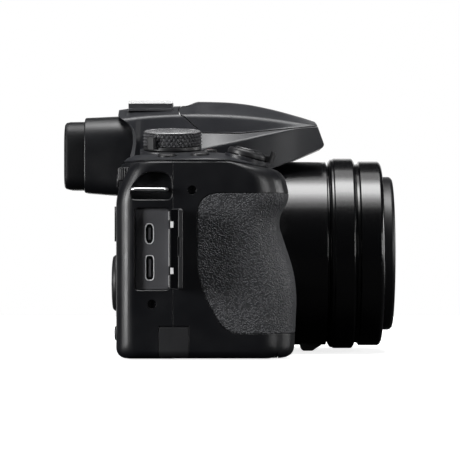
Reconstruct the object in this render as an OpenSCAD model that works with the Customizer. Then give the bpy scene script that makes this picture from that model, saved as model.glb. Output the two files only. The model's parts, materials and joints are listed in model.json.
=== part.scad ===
// Bridge camera with a fixed long zoom lens, an eye-level finder and a pop-up flash.
// X runs forward along the lens, Y to the camera's left and Z up. The origin is the mouth
// of the tripod socket in the base, in the plane of the lens axis. The grip is on the -Y side.

/* [Body] */
// Lens axis to the face of the grip side
grip_side = 71; // [70.5:0.1:71.5]
// Lens axis to the left side face
left_side = 55; // [54:0.5:57]
// Tripod socket back to the rear face
rear_depth = 40.5; // [40.2:0.1:41]
// Tripod socket forward to the face that carries the lens
front_depth = 9; // [8.8:0.1:9.2]
// Height of the right-hand deck beside the finder hump
deck_height = 74.2; // [74:0.1:74.5]
// Height of the seam between the top cover and the body on the grip side
deck_seam = 70; // [69.8:0.1:70.2]
// Height of that seam on the left side
left_seam = 66; // [65.5:0.1:66.5]
// Tripod socket back to the seam between the front and rear covers
cover_seam = 20.2; // [20:0.1:20.4]

/* [Grip] */
// Tripod socket forward to the fullest part of the grip
grip_reach = 24.2; // [23.5:0.1:25]
// Tripod socket forward to the finger notch
notch_reach = 16.9; // [16.5:0.1:18]
// Height of the finger notch
notch_height = 48.8; // [48:0.2:50]
// Thickness of the grip leatherette
skin = 1; // [0.8:0.1:1.2]

/* [Lens] */
// Height of the lens axis above the base
lens_height = 36.75; // [36.5:0.05:37]
// Radius of the fixed barrel
barrel_radius = 34.7; // [34.5:0.1:34.8]
// Radius of the glossy ring in front of the fixed barrel
ring_radius = 36; // [35.6:0.1:36.4]
// Radius of the collar in front of the ring
collar_radius = 34.9; // [34.6:0.1:35.2]
// Outer radius of the front barrel
front_radius = 29; // [28.9:0.05:29.1]
// Tripod socket forward to the rim of the front barrel
lens_reach = 61.2; // [60.5:0.1:62]
// Filter thread
filter_thread = 55; // [54:0.5:55.5]
// Part of its travel that the lens stands out in the drawing
zoom_out = 0; // [0:0.05:1]

/* [Hump] */
// Tripod socket back to the rim of the eyecup
eyecup_reach = 62.2; // [61.5:0.1:63]
// Half the width of the finder housing
finder_half = 17; // [16.5:0.1:17.3]
// Angle at which the flash lid is drawn, shut at 0
flash_open = 0; // [0:5:60]

/* [Controls] */
// Radius of the mode dial over its knurl
dial_radius = 10.8; // [10.4:0.1:10.9]
// Ribs around the mode dial
dial_ribs = 40; // [24:2:44]
// Sideways lean of the mode dial
dial_tilt = 7; // [6:0.5:8]
// Forward lean of the shutter button
shutter_tilt = 15; // [13:0.5:17]
// Sideways lean of the deck buttons
button_tilt = 10; // [8:0.5:12]

/* [Doors] */
// Angle at which the port door stands open
port_open = 104; // [0:1:110]

/* [Mounts] */
// Clear radius of the quarter-inch tripod thread
tripod_radius = 3.1; // [3:0.05:3.2]
// Depth of the tripod thread
tripod_depth = 6; // [5.5:0.1:6.5]

/* [Hidden] */
$fn = 64;
gap = 0.3;
right_y = -grip_side;
rear_x = -rear_depth;
seam_x = -cover_seam;
middle_travel = 30;
front_travel = 26;
bore_radius = 32.2;
middle_radius = 31.9;
barrel_end = 36.2;
ring_start = 36.9;
ring_end = 46.8;
collar_end = 57;
hinge = [-16.8, 90.6];
dial_at = [-21, -38];
dial_base = 76.8;
lever_seat = -1.9;
shutter_at = [5.8, -50, 71.2];
deck_buttons = [[-22.6, -56, 72.2], [-10.8, -56, 72.7]];
movie_at = [-7.4, -45.5, 74];
flash_button_at = [-10, 31, 69.8];
pad_at = [-45, 26.4];
pad_radius = 10.3;
rear_buttons = [[-25.5, 63.6], [-36.5, 63.6], [-31, 44], [-30.5, 8.5], [-54, 8.5]];
rear_dial_at = [-33.1, -55, 63.2];
rear_dial_size = [7.2, 4.8];
shoulder_x = -32.3;
shoulder_y = -50;
port_low = [-33.7, 24.4];
port_high = [-21.4, 53.4];
port_depth = 3.6;
port_axis = [-20.3, -70.2];
door_thick = 1.7;
strap_z = 59.9;
battery_box = [[-19, -65.5, 3.2], [28.5, 13.5, 40]];
card_box = [[-10, -49.5, 3.2], [24, 2.1, 32]];
battery_door_box = [[-19.6, -68, 0.3], [36.4, 21.4, 1.9]];
door_hinge = [-44.6, 1.3];
battery_knuckles = [-16, 9];
screen_low = [-20, 5.5];
screen_high = [48.5, 57];
chassis_back = -24.8;
cavity = [[-34, -40, 8.6], [40, 80, 51.4]];
side_screws = [[-13.4, 59.7], [-27.6, 19.4]];
base_screws = [[-33, -34], [-33, 40], [4, 46], [4, -36]];

// Shared functions

function mix(a, b, t) = a + (b - a) * t;
function ease(t) = let (c = min(1, max(0, t))) c * c * (3 - 2 * c);
function unit(v) = v / norm(v);

// How far a rounded edge draws in at a distance d from its end face
function edge(d, reach, depth) =
    d >= depth ? 0 : reach * (1 - sqrt(1 - pow(1 - max(0, d) / depth, 2)));

// One corner [x, y, setback] of an outline as a curve that leaves the corner's two edges smoothly
function bend(a, b, c, steps) =
    let (
        p = [b.x, b.y],
        before = [a.x, a.y] - p,
        after = [c.x, c.y] - p,
        setback = min(b.z, 0.45 * norm(before), 0.45 * norm(after)),
        start = p + unit(before) * setback,
        end = p + unit(after) * setback
    )
    [for (i = [0 : steps]) let (t = i / steps)
        (1 - t) * (1 - t) * start + 2 * t * (1 - t) * p + t * t * end];
function outline(corners, steps = 3) =
    let (n = len(corners))
    [for (i = [0 : n - 1]) each bend(corners[(i + n - 1) % n], corners[i], corners[(i + 1) % n], steps)];
function centre(ring) = [for (i = [0 : 2]) [for (p = ring) p[i]] * [for (p = ring) 1] / len(ring)];

// Shared shapes

// Skin through rings of points that run anticlockwise about the direction of the loft
module loft(rings) {
    n = len(rings[0]);
    m = len(rings);
    points = concat([for (r = rings) each r], [centre(rings[0]), centre(rings[m - 1])]);
    sides = [for (j = [0 : m - 2], i = [0 : n - 1])
        let (a = j * n + i, b = j * n + (i + 1) % n)
        each [[a, b + n, b], [a, a + n, b + n]]];
    ends = [for (i = [0 : n - 1]) let (b = (i + 1) % n, last = (m - 1) * n)
        each [[i, b, m * n], [last + b, last + i, m * n + 1]]];
    polyhedron(points, concat(sides, ends));
}

// Outline in X and Z carried from y0 to y1
module side_prism(points, y0, y1)
    translate([0, y1, 0]) rotate([90, 0, 0]) linear_extrude(y1 - y0) polygon(points);

// Children drawn in Y and Z carried from x0 to x1
module rear_prism(x0, x1)
    translate([x0, 0, 0]) rotate([90, 0, 90]) linear_extrude(x1 - x0) children();

// Children drawn in X and Z carried from y0 to y1
module side_plate(y0, y1)
    translate([0, y1, 0]) rotate([90, 0, 0]) linear_extrude(y1 - y0) children();

module block(low, high)
    translate(low) cube(high - low);

// Rectangle with round corners
module plate(low, high, r) {
    translate([low.x + r, low.y]) square([high.x - low.x - 2 * r, high.y - low.y]);
    translate([low.x, low.y + r]) square([high.x - low.x, high.y - low.y - 2 * r]);
    for (x = [low.x + r, high.x - r], y = [low.y + r, high.y - r])
        translate([x, y]) circle(r);
}

// Profile [x, radius] turned about the lens axis
module turned(profile)
    translate([0, 0, lens_height]) rotate([0, 90, 0]) rotate_extrude()
        polygon([for (p = profile) [p.y, p.x]]);

// Hollow turning between an inner and an outer radius with small chamfers on its rims
module barrel(x0, x1, inner, outer, chamfer)
    turned([[x0, inner], [x1, inner], [x1, outer - chamfer], [x1 - chamfer, outer],
        [x0 + chamfer, outer], [x0, outer - chamfer]]);

// Push button with a soft rim, its cap and the stem that guides it
module button(r, top, bottom)
    rotate_extrude()
        polygon([[0, bottom], [r, bottom], [r, top - 0.5], [r - 0.2, top - 0.15], [r - 0.7, top],
            [0, top - 0.1]]);

// Wheel with ribs around its rim
module ribbed(r, height, ribs, depth)
    linear_extrude(height)
        polygon([for (i = [0 : ribs * 4 - 1])
            let (s = i % 4 < 2 ? r : r - depth, a = 360 * (i + (i % 2) * 0.2) / (ribs * 4))
            s * [cos(a), sin(a)]]);

// Upright cylinder at a place in the X and Y plane
module rod(r, at, z0, z1)
    translate([at.x, at.y, z0]) cylinder(r = r, h = z1 - z0);

// Cylinder along Y in the X and Z plane
module cross_rod(r, at, y0, y1)
    translate([at.x, y1, at.y]) rotate([90, 0, 0]) cylinder(r = r, h = y1 - y0);

module on_rear(at)
    translate([rear_x, at.x, at.y]) rotate([0, -90, 0]) children();

module on_shutter()
    translate(shutter_at) rotate([0, shutter_tilt, 0]) children();

module on_deck(at)
    translate(at) rotate([button_tilt, 0, 0]) children();

// Mode dial's own frame, with its knurl from 0 upward
module on_dial()
    translate([dial_at.x, dial_at.y, dial_base]) rotate([dial_tilt, 0, 0]) children();

// Body form, from which the covers are cut

function deck(y) = y < 0
    ? mix(deck_seam + 1.6, deck_height, ease((y + 68) / 22))
    : mix(70.6, 68.6, ease((y - 22) / 30));

// Side outline of the body at a distance y from the lens axis, drawn in by k
function body_corners(y, k) =
    let (
        d = min(y + grip_side, left_side - y) - k,
        right = y < 0,
        full = 1 - ease((y + 46.5) / 9.5),
        thumb = 1 - ease((y + 54) / 14),
        back = rear_x + edge(d, 7, 7) + k,
        nose = edge(d, right ? 13 : 8, right ? 15 : 8) + k,
        top = deck(y) - edge(d, right ? 1.6 : 5, right ? 2.2 : 7) - k,
        base = edge(d, 3.2, 3.6) + k
    )
    [
        [back, mix(40, 58, thumb), 4],
        [back + 5.7 * thumb, top - 1.5, mix(8, 4.5, thumb)],
        [-3, top, 9],
        [mix(front_depth, 19.2, full) - nose, min(top - 1.4, mix(top - 3, 66.4, full)), mix(3.4, 8, full)],
        [mix(front_depth, 21.5, full) - nose, 57.2, 3],
        [mix(front_depth, notch_reach, full) - nose, notch_height, 4.6],
        [mix(front_depth, grip_reach, full) - nose, 27, 9],
        [mix(front_depth, 22.9, full) - nose, base, 4.4],
        [back, base, 4.2]
    ];
function body_stations(k) = concat(
    [for (d = [0, 0.4, 1.2, 2.4, 4.2, 6.5, 9.5, 14, 20]) right_y + k + d],
    [-46, -43.5, -41, -39, -36.5, -22, 24, 40],
    [for (d = [8, 5.5, 3.2, 1.4, 0.4, 0]) left_side - k - d]);

module body_form(k = 0)
    loft([for (y = body_stations(k)) [for (p = outline(body_corners(y, k))) [p.x, y, p.y]]]);

// Space above the seam of the top cover, which turns up before the rear shoulder of the grip side
module top_zone() {
    front_seam = [[0, deck_seam], [16, deck_seam - 2.4], [40, deck_seam - 2.4], [40, 110]];
    turn_up = bend([shoulder_x, 110], [shoulder_x, deck_seam, 2.6], [0, deck_seam], 5);
    side_prism(concat([[-60, 110], [-60, deck_seam]], front_seam), shoulder_y, 0);
    side_prism(concat([[shoulder_x, 110]], turn_up, front_seam), -90, shoulder_y);
    block([-60, 0, left_seam], [40, 90, 110]);
}

module front_zone()
    block([seam_x, -90, -1], [60, 90, 110]);

// Leatherette outline on the grip
module grip_zone(grow = 0)
    side_prism(outline([[-11.4 - grow, 58.6 + grow, 8], [40, 58.6 + grow, 0.2], [40, 9 - grow, 0.2],
        [-1.5 - grow, 9 - grow, 6], [-11.4 - grow, 27, 11]], 5), -90, -40.5);

// Finder hump: its section at each distance forward, as the height of the ridge, the crease,
// the foot of the flash lid and the ledge below it
hump_stations = [
    [-42, 91.1, [17.0, 86.9], [18.7, 80], [19.0, 74]],
    [-38, 91.7, [17.3, 87.3], [19.1, 80], [19.4, 74]],
    [-35.5, 92, [17.2, 87.6], [19.0, 80.3], [19.3, 74]],
    [-33.4, 92.1, [16.6, 87.8], [17.9, 80.6], [18.3, 74]],
    [-30, 92.2, [16.1, 88.1], [17.2, 81], [18.0, 74]],
    [-17, 92.6, [16.8, 88.7], [18.4, 81.9], [22.5, 74]],
    [-11.8, 94.5, [17.0, 88.6], [18.7, 81.9], [24.0, 75]],
    [-2.7, 94.3, [17.0, 88.4], [18.7, 81.7], [23.7, 77.2]],
    [4.9, 93.6, [16.9, 88], [18.6, 81.8], [22.8, 79]],
    [14.9, 91.6, [16.3, 87.1], [17.8, 82.8], [20.4, 81.4]],
    [26, 88.3, [14.9, 85.8], [16.2, 84], [17.0, 83.6]],
    [33, 85.6, [13.8, 84.9], [14.7, 84.4], [15.2, 84]],
    [37, 84, [13.0, 83.6], [13.8, 83.2], [14.3, 82.8]]
];
hump_foot = 62;
ridge_round = 7;
function hump_half(s) = [[s[4].x + 0.4, hump_foot, 0.3], [s[4].x, s[4].y, 1], [s[3].x, s[3].y, 0.7],
    [s[2].x, s[2].y, min(2.4, s[2].x / 4)]];
function hump_corners(s) = let (half = hump_half(s))
    concat(half, [[0, s[1] + ridge_round / 6, ridge_round]],
        [for (i = [3 : -1 : 0]) [-half[i].x, half[i].y, half[i].z]]);

// Side outline of the hump with the beak over the lens
hump_back = -42;
hump_outline = [[hump_back, hump_foot], [hump_back, 100], [28, 100], [32.4, 85.5], [35.3, 77.5],
    [34.7, 76.4], [26.6, 72.9], [16.8, 68.9], [9, 66], [9, hump_foot]];

module hump_form() intersection() {
    loft([for (s = hump_stations) [for (p = outline(hump_corners(s), 2)) [s[0], p.x, p.y]]]);
    side_prism(hump_outline, -40, 40);
}

// Rear lip of the hump, which curves forward around the side of the finder housing
hump_lip = [[hump_back, 88.4], [-41.4, 87.8], [-39.2, 86.2], [-37.6, 84.4], [-36.6, 82.3], [-36.3, 80.3],
    [-36.3, 78.2], [-36.7, 75.6], [-37.5, 72.4], [-38.1, deck_seam + 0.05]];
lip_half = 20;

// Space of the finder housing, behind the lip and behind the rear face
module finder_zone() {
    side_prism(concat(hump_lip, [[-60, deck_seam + 0.05], [-60, 88.4]]), -lip_half, lip_half);
    block([-60, -lip_half, 50], [rear_x, lip_half, deck_seam + 1]);
}

// Space of the flash lid: above its seam, with a round heel about the hinge
module lid_zone(lift = 0) {
    rear = hinge - [1.4, 1.4];
    side_prism([[rear.x + lift, 100], [rear.x + lift, rear.y + lift], [-11.6, 83 + lift],
        [-10.2, 81.9 + lift], [3.7, 81.7 + lift], [26, 84 + lift], [31.8, 84.6 + lift], [40, 85.2 + lift],
        [40, 100]], -40, 40);
    cross_rod(2.4 - 1.2 * lift, hinge, -40, 40);
}

// Recess in the beak that the flash unit drops into, its front wall round about the hinge
module flash_bay() intersection() {
    block([5.5, -13.4, 75.6], [40, 13.4, 95]);
    cross_rod(47.9, hinge, -13.4, 13.4);
}

// Covers

module front_cover() color("#1b1c20") difference() {
    intersection() {
        body_form();
        front_zone();
    }
    top_zone();
    difference() {
        grip_zone(0.15);
        body_form(skin);
    }
    block(cavity[0], cavity[0] + cavity[1]);
    battery_bay();
    turned([[0, 0], [0, 26], [front_depth + 1, 26], [front_depth + 1, 0]]);
    rod(5.05, [0, 0], -1, tripod_depth + 1);
    port_hinge_notches();
    flap_recess();
    screw_wells();
    deck_wells();
    on_front_lamp() cylinder(r = 3.05, h = 6, center = true);
}

module rear_cover() color("#1b1c20") difference() {
    body_form();
    front_zone();
    top_zone();
    block(cavity[0], cavity[0] + cavity[1]);
    screen_pocket();
    on_rear(pad_at) translate([0, 0, -3.2]) cylinder(r = pad_radius + 0.4, h = 12);
    for (at = rear_buttons)
        on_rear(at) translate([0, 0, -3.2]) cylinder(r = 2.9, h = 12);
    rod(rear_dial_size.x + 0.4, rear_dial_at, rear_dial_at.z - gap, rear_dial_at.z + rear_dial_size.y + gap);
    rod(1.25, rear_dial_at, rear_dial_at.z - 2.2, rear_dial_at.z + 6.2);
    port_recess();
    port_hinge_notches();
    flap_recess();
    strap_recess();
    on_left_strap() strap_recess();
    remote_recess();
    screw_wells();
    deck_wells();
}

// Wells of the controls that reach below the seam of the top cover
module deck_wells() {
    on_shutter() translate([0, 0, -3.5]) cylinder(r = 5.3, h = 9);
    for (at = deck_buttons)
        on_deck(at) translate([0, 0, -2.6]) cylinder(r = 3.5, h = 8);
}

module top_cover() color("#212226") difference() {
    union() {
        intersection() {
            union() {
                body_form();
                on_dial() translate([0, 0, lever_seat - 5]) cylinder(r = 11.9, h = 5);
                on_shutter() translate([0, 0, -3]) cylinder(r = 7.9, h = 3.4);
            }
            top_zone();
        }
        difference() {
            intersection() {
                hump_form();
                top_zone();
            }
            lid_zone(-0.3);
            flash_bay();
        }
        hinge_ears();
    }
    translate([0, 0, lens_height]) rotate([0, 90, 0]) translate([0, 0, front_depth])
        cylinder(r = barrel_radius + 0.5, h = 60);
    finder_zone();
    on_dial() {
        translate([0, 0, lever_seat]) cylinder(r = 11.6, h = 8);
        translate([0, 0, -5.8]) cylinder(r = 3.05, h = 8);
    }
    on_shutter() translate([0, 0, 0.4]) cylinder(r = 8, h = 6);
    deck_wells();
    translate(movie_at - [0, 0, 2.8]) cylinder(r = 3, h = 8);
    translate(flash_button_at - [0, 0, 2.8]) cylinder(r = 2.9, h = 8);
    block([-38.6, -10.9, 90.4], [-21.4, 10.9, 100]);
    cross_rod(0.6, hinge, -5.3, 5.3);
}

// Ears of the top cover that carry the flash hinge pin
module hinge_ears()
    for (y = [-4.9, 3.1]) {
        cross_rod(1.5, hinge, y, y + 1.8);
        block([hinge.x - 4.5, y, hinge.y - 2.4], [hinge.x, y + 1.8, hinge.y + 0.6]);
    }

module grip_cover() color("#3a3b3f") difference() {
    intersection() {
        body_form();
        grip_zone();
        front_zone();
    }
    body_form(skin);
}

module thumb_rest() color("#2a2b2e") intersection() {
    rear_prism(rear_x - 3, rear_x) plate([-63, 41.5], [-46, 54], 5);
    translate([rear_x + 59.1, -55, 40]) cylinder(r = 60, h = 30, $fn = 360);
}

// Finder

// Section of the finder, with rounder corners at the crown than at the foot
function finder_ring(x, half, low, high, r, crown) =
    [for (p = outline([[half, low, r], [half, high, crown], [-half, high, crown], [-half, low, r]], 5))
        [x, p.x, p.y]];

module finder_housing() color("#17181b") difference() {
    loft([
        finder_ring(-54.6, finder_half - 1.2, 59.9, 87.6, 5.5, 11.5),
        finder_ring(-54.1, finder_half - 0.7, 59.5, 88, 6, 12),
        finder_ring(rear_x, finder_half, 58.4, 88.6, 6.5, 12.5),
        finder_ring(-35, finder_half, 58.4, 88.6, 6.5, 12.5)
    ]);
    block([rear_x, -30, 50], [-30, 30, deck_seam + 0.05]);
    difference() {
        block([hump_back, -30, deck_seam], [-30, 30, 100]);
        finder_zone();
    }
    block([-56, -10.5, 65], [-45, 10.5, 83]);
    translate([-48.5, finder_half - 3.4, 74]) rotate([-90, 0, 0]) cylinder(r = 4.6, h = 10);
    translate([-48.5, finder_half - 5.6, 74]) rotate([-90, 0, 0]) cylinder(r = 1.55, h = 10);
}

module eyecup() color("#141517") difference() {
    loft([
        finder_ring(-eyecup_reach, finder_half - 3.4, 62.4, 84.6, 4.5, 8),
        finder_ring(-eyecup_reach + 0.7, finder_half - 1.7, 61, 86, 5, 9),
        finder_ring(-eyecup_reach + 2, finder_half - 1.3, 60.7, 86.3, 5.2, 9.2),
        finder_ring(-54.6, finder_half - 1.6, 60.6, 86.4, 5.2, 9.2)
    ]);
    loft([
        finder_ring(-eyecup_reach - 1, finder_half - 4, 64.2, 82.8, 4, 7),
        finder_ring(-57.6, finder_half - 6.2, 66, 81.4, 3, 3),
        finder_ring(-54, finder_half - 6.5, 66.2, 81.2, 3, 3)
    ]);
}

module eyepiece_lens() color("#20242a") intersection() {
    block([-56, -10.5, 65], [-51, 10.5, 83]);
    translate([-20, 0, 73.7]) sphere(r = 34.4, $fn = 200);
}

module finder_display() color("#101114") block([-48, -9, 66], [-45, 9, 82]);

// Hot shoe with its two rails
module hot_shoe() color("#c9cacc") difference() {
    rear_prism(-38.2, -21.7)
        polygon([[-10.5, 90.4], [10.5, 90.4], [10.5, 93.2], [9.5, 94.2], [-9.5, 94.2], [-10.5, 93.2]]);
    block([-40, -9.4, 91.3], [-22.9, 9.4, 93.4]);
    block([-40, -6.4, 91.3], [-22.9, 6.4, 95]);
    for (y = [-11, 9.9])
        block([-40, y, 91.2], [-20, y + 1.1, 93.1]);
}

module shoe_contacts() color("#c8a860")
    for (at = [[-29.5, 0, 1.4], [-34.4, -3.2, 0.9], [-34.4, 0, 0.9], [-34.4, 3.2, 0.9]])
        translate([at.x, at.y, 91.3]) cylinder(r = at.z, h = 0.3);

// Ports and straps

module port_recess() {
    side_plate(right_y - 4, right_y + port_depth) plate(port_low, port_high, 1.2);
    side_plate(right_y, right_y + port_depth + socket_depth) {
        socket_outline(hdmi_at, hdmi_size, 0.3);
        socket_outline(usb_at, usb_size, 0.3);
    }
}

module socket_outline(at, size, grow)
    plate(at - size / 2 - [grow, grow], at + size / 2 + [grow, grow], size.x / 2 + grow - 0.01);

hdmi_at = [-28.5, 44.3];
hdmi_size = [2.6, 6.8];
usb_at = [-28.4, 32.2];
usb_size = [2.6, 8.4];
socket_depth = 5;

module port_panel() color("#2b2c30") difference() {
    side_plate(right_y + port_depth - 1.4, right_y + port_depth)
        plate(port_low + [0.2, 0.2], port_high - [0.2, 0.2], 1);
    side_plate(right_y, right_y + 20) {
        socket_outline(hdmi_at, hdmi_size, 0.35);
        socket_outline(usb_at, usb_size, 0.35);
    }
}

// Metal shell of a socket with its tongue, set into the wall behind the panel
module socket(at, size, tongue) difference() {
    side_plate(right_y + port_depth - 1.5, right_y + port_depth + socket_depth)
        socket_outline(at, size, 0.3);
    difference() {
        side_plate(right_y - 1, right_y + port_depth + socket_depth - 0.6) socket_outline(at, size, 0);
        side_plate(right_y + port_depth - 1, right_y + 20) plate(at - tongue / 2, at + tongue / 2, 0.2);
    }
}

module hdmi_socket() color("#b9babd") socket(hdmi_at, hdmi_size, [0.8, 4.2]);

module usb_socket() color("#b9babd") socket(usb_at, usb_size, [0.8, 6.2]);

// Arched hollow that gives the strap room to pass through its loop
module strap_recess()
    side_prism(outline([[-35.2, 56.4, 2.4], [-20.5, 56.4, 2.2], [-20.7, 66, 4.2], [-30.5, 66.2, 4],
        [-35.3, 60.8, 2.5]], 5), right_y - 4, right_y + 5.2);

// Flat metal loop: a bar outside the body and two legs that run back to the wall of the hollow
module strap_loop() translate([0, 0, strap_z - 0.6]) linear_extrude(1.2) difference() {
    union() {
        plate([-35.5, right_y - 3.7], [-21.7, right_y - 0.3], 1.5);
        plate([-34.6, right_y - 2], [-21.9, right_y + 5.2], 0.6);
    }
    plate([-33.2, right_y - 2], [-23.3, right_y + 3.8], 1);
}

module strap_loop_right() color("#c4c5c8") strap_loop();

// The left loop sits lower, under the lower seam of that side
module on_left_strap()
    mirror([0, 1, 0]) translate([0, grip_side - left_side, -1.5]) children();

module strap_loop_left() color("#c4c5c8") on_left_strap() strap_loop();

// Wells for the case screws in the sides and the base
module at_screws() {
    for (at = side_screws)
        translate([at.x, right_y, at.y]) rotate([-90, 0, 0]) children();
    for (at = [[-27, 48], [-27, 12]])
        translate([at.x, left_side, at.y]) rotate([90, 0, 0]) children();
    for (at = base_screws)
        translate([at.x, at.y, 0]) children();
}

module screw_wells()
    at_screws() translate([0, 0, -1]) cylinder(r = 1.6, h = 3.4);

module case_screws() color("#0f1012")
    at_screws() difference() {
        translate([0, 0, 1.3]) cylinder(r = 1.5, h = 1.1);
        for (turn = [0, 90])
            rotate(turn) translate([-1, -0.2, 0]) cube([2, 0.4, 1.8]);
    }

// Rear screen

module screen_pocket() {
    rear_prism(rear_x - 2, rear_x + 1) plate(screen_low, screen_high, 2);
    rear_prism(rear_x - 2, rear_x + 4.2) plate(screen_low + [1.5, 1.5], screen_high - [1.5, 1.5], 1);
}

module screen_module() color("#0c0d10")
    rear_prism(rear_x + 1, rear_x + 4.2) plate(screen_low + [1.7, 1.7], screen_high - [1.7, 1.7], 1);

module screen_window() color("#101216")
    rear_prism(rear_x + 0.1, rear_x + 1) plate(screen_low + [0.15, 0.15], screen_high - [0.15, 0.15], 1.9);

// Lens

module tripod_bush() color("#b9a06a") difference() {
    rod(5, [0, 0], 0, tripod_depth + 1);
    rod(tripod_radius, [0, 0], -1, tripod_depth);
}

module fixed_barrel() color("#08090a") {
    barrel(front_depth, barrel_end, bore_radius, barrel_radius, 0.5);
    difference() {
        side_prism([[26, 6], [26.8, 0.6], [27.6, 0], [31.2, 0], [32.2, 0.8], [34.5, 2.2], [34.5, 6]],
            -7, 7);
        turned([[20, 0], [20, barrel_radius - 0.4], [40, barrel_radius - 0.4], [40, 0]]);
    }
}

module lens_ring() color("#050506")
    turned([[barrel_end, bore_radius], [ring_end, bore_radius], [ring_end, ring_radius - 1.1],
        [ring_end - 0.9, ring_radius], [ring_start + 2.1, ring_radius],
        [ring_start + 1.7, ring_radius - 0.35],
        [ring_start + 0.9, ring_radius - 0.4], [ring_start, ring_radius - 1.6],
        [ring_start, barrel_radius - 1.1], [barrel_end, barrel_radius - 1.1]]);

module lens_collar() color("#060607")
    turned([[ring_end, bore_radius], [collar_end, bore_radius], [collar_end, collar_radius - 1.4],
        [collar_end - 0.5, collar_radius - 0.5], [collar_end - 1.2, collar_radius],
        [ring_end + 1.7, collar_radius], [ring_end + 1.5, collar_radius - 0.8],
        [ring_end, collar_radius - 1.2]]);

module middle_barrel() color("#0c0d0e") translate([middle_travel * zoom_out, 0, 0])
    turned([[13, front_radius + 0.4], [56.2, front_radius + 0.4], [56.2, middle_radius - 0.5],
        [55.7, middle_radius], [13, middle_radius]]);

module front_barrel() color("#101113") translate([(middle_travel + front_travel) * zoom_out, 0, 0])
    turned([[15, 26.4], [45.6, 26.4], [45.6, 24.4], [47, 24.4], [47, 26.1], [52, 26.1],
        [lens_reach - 4.6, filter_thread / 2 - 0.3], [lens_reach - 4.6, filter_thread / 2],
        [lens_reach - 0.3, filter_thread / 2], [lens_reach, filter_thread / 2 + 0.3],
        [lens_reach, front_radius - 0.9], [lens_reach - 0.9, front_radius], [15, front_radius]]);

module front_lens() color("#2a2f4a") translate([(middle_travel + front_travel) * zoom_out, 0, lens_height])
    rotate([0, 90, 0]) intersection() {
        translate([0, 0, 47.05]) cylinder(r = 26, h = 8);
        translate([0, 0, -5]) sphere(r = 60, $fn = 128);
    }

module rear_lens_group() color("#16171a")
    turned([[-23.2, 5], [-23.2, 13], [-21.6, 13], [-21.6, 9], [-14, 9], [-14, 13], [-4, 13], [-4, 16],
        [5.4, 16], [5.4, 12.5], [4.6, 11.5], [4, 6], [3.8, 0], [-20, 0], [-20, 5]]);

// Posts that carry a board on the chassis
module posts(x0, x1, half, r)
    for (y = [-half.x, half.x], z = [-half.y, half.y])
        translate([x0, y, lens_height + z]) rotate([0, 90, 0]) cylinder(r = r, h = x1 - x0);

module image_sensor() color("#1f3a2c") {
    rear_prism(-28.4, -27) plate([-13, 24.75], [13, 48.75], 1);
    rear_prism(-27.2, -25.2) plate([-6, 31.75], [6, 41.75], 0.5);
    posts(-27.2, chassis_back, [11, 10], 1.2);
}

module chassis() color("#8d9094") difference() {
    union() {
        block([chassis_back, cavity[0].y, cavity[0].z], [chassis_back + 1.6, -cavity[0].y, 60]);
        for (y = [cavity[0].y, -cavity[0].y - 1.6])
            block([chassis_back, y, 13], [cavity[0].x + cavity[1].x, y + 1.6, 22]);
    }
    turned([[-30, 0], [-30, 10], [-20, 10], [-20, 0]]);
}

module main_board() color("#1d4a33") {
    rear_prism(-33, -31.6) plate([-36, 10], [38, 57], 1.5);
    for (chip = [[-30, 40, 10], [18, 30, 14], [20, 14, 9], [-28, 16, 8]])
        block([-31.7, chip.x, chip.y], [-30.2, chip.x + chip.z, chip.y + chip.z]);
    posts(-31.7, chassis_back, [33, 18], 1.4);
}

// Motor on the chassis with the pinion that drives the barrels
module zoom_motor() color("#7d8085") {
    translate([chassis_back + 1.6, 30, 50]) rotate([0, 90, 0]) cylinder(r = 5, h = 22);
    translate([chassis_back + 23, 30, 50]) rotate([0, 90, 0]) ribbed(3, 4, 12, 0.7);
}

module flash_capacitor() color("#23262c")
    rod(5.5, [-9, -31], cavity[0].z, 43);

module battery_bay() {
    block(battery_box[0] - [0.4, 0.4, 1], battery_box[0] + battery_box[1] + [0.4, 0.4, 0]);
    block(card_box[0] - [0.3, 0.3, 1], card_box[0] + card_box[1] + [0.3, 0.3, 0]);
    door = battery_door_box;
    block(door[0] - [gap, gap, 2], door[0] + door[1] + [gap, 0.75, 0.2]);
    for (x = battery_knuckles) {
        battery_knuckle(x - 0.3, x + 4.3, 1.75, 0.45);
        block([x - 0.3, door_hinge.x - 2.4, -1], [x + 4.3, door_hinge.x, 2.2]);
    }
}

module battery() color("#34363b")
    side_plate(battery_box[0].y, battery_box[0].y + battery_box[1].y)
        plate([battery_box[0].x, battery_box[0].z], [battery_box[0].x + battery_box[1].x,
            battery_box[0].z + battery_box[1].z], 1.5);

// Card with its cut corner
module memory_card() color("#2b2d33")
    side_prism([[-10, 3.2], [14, 3.2], [14, 31], [10, 35.2], [-10, 35.2]], card_box[0].y,
        card_box[0].y + card_box[1].y);

module on_front_lamp()
    translate([front_depth, 44, 56]) rotate([0, 90, 0]) children();

module focus_lamp() color("#5a1e18")
    on_front_lamp() translate([0, 0, -2.9]) rotate_extrude()
        polygon([[0, 0], [3, 0], [3, 2.7], [2.6, 3.1], [0, 3.4]]);

// Controls

module mode_dial() color("#16171a") on_dial() {
    ribbed(dial_radius, 4.7, dial_ribs, 0.5);
    translate([0, 0, 4.7]) rotate_extrude()
        polygon([[0, 0], [dial_radius - 0.5, 0], [dial_radius - 0.5, 0.1], [dial_radius - 0.9, 0.5],
            [0, 0.5]]);
    translate([0, 0, -5.5]) cylinder(r = 3, h = 5.6);
}

module power_lever() color("#1c1d20") on_dial() {
    translate([0, 0, lever_seat + gap]) difference() {
        cylinder(r = 10.6, h = 1.3);
        translate([0, 0, -1]) cylinder(r = 3.4, h = 4);
    }
    rotate(231) {
        block([10, -1.6, -0.9], [12.5, 1.6, -0.3]);
        block([11.2, -1.6, -0.9], [12.5, 1.6, 3.5]);
    }
}

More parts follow.
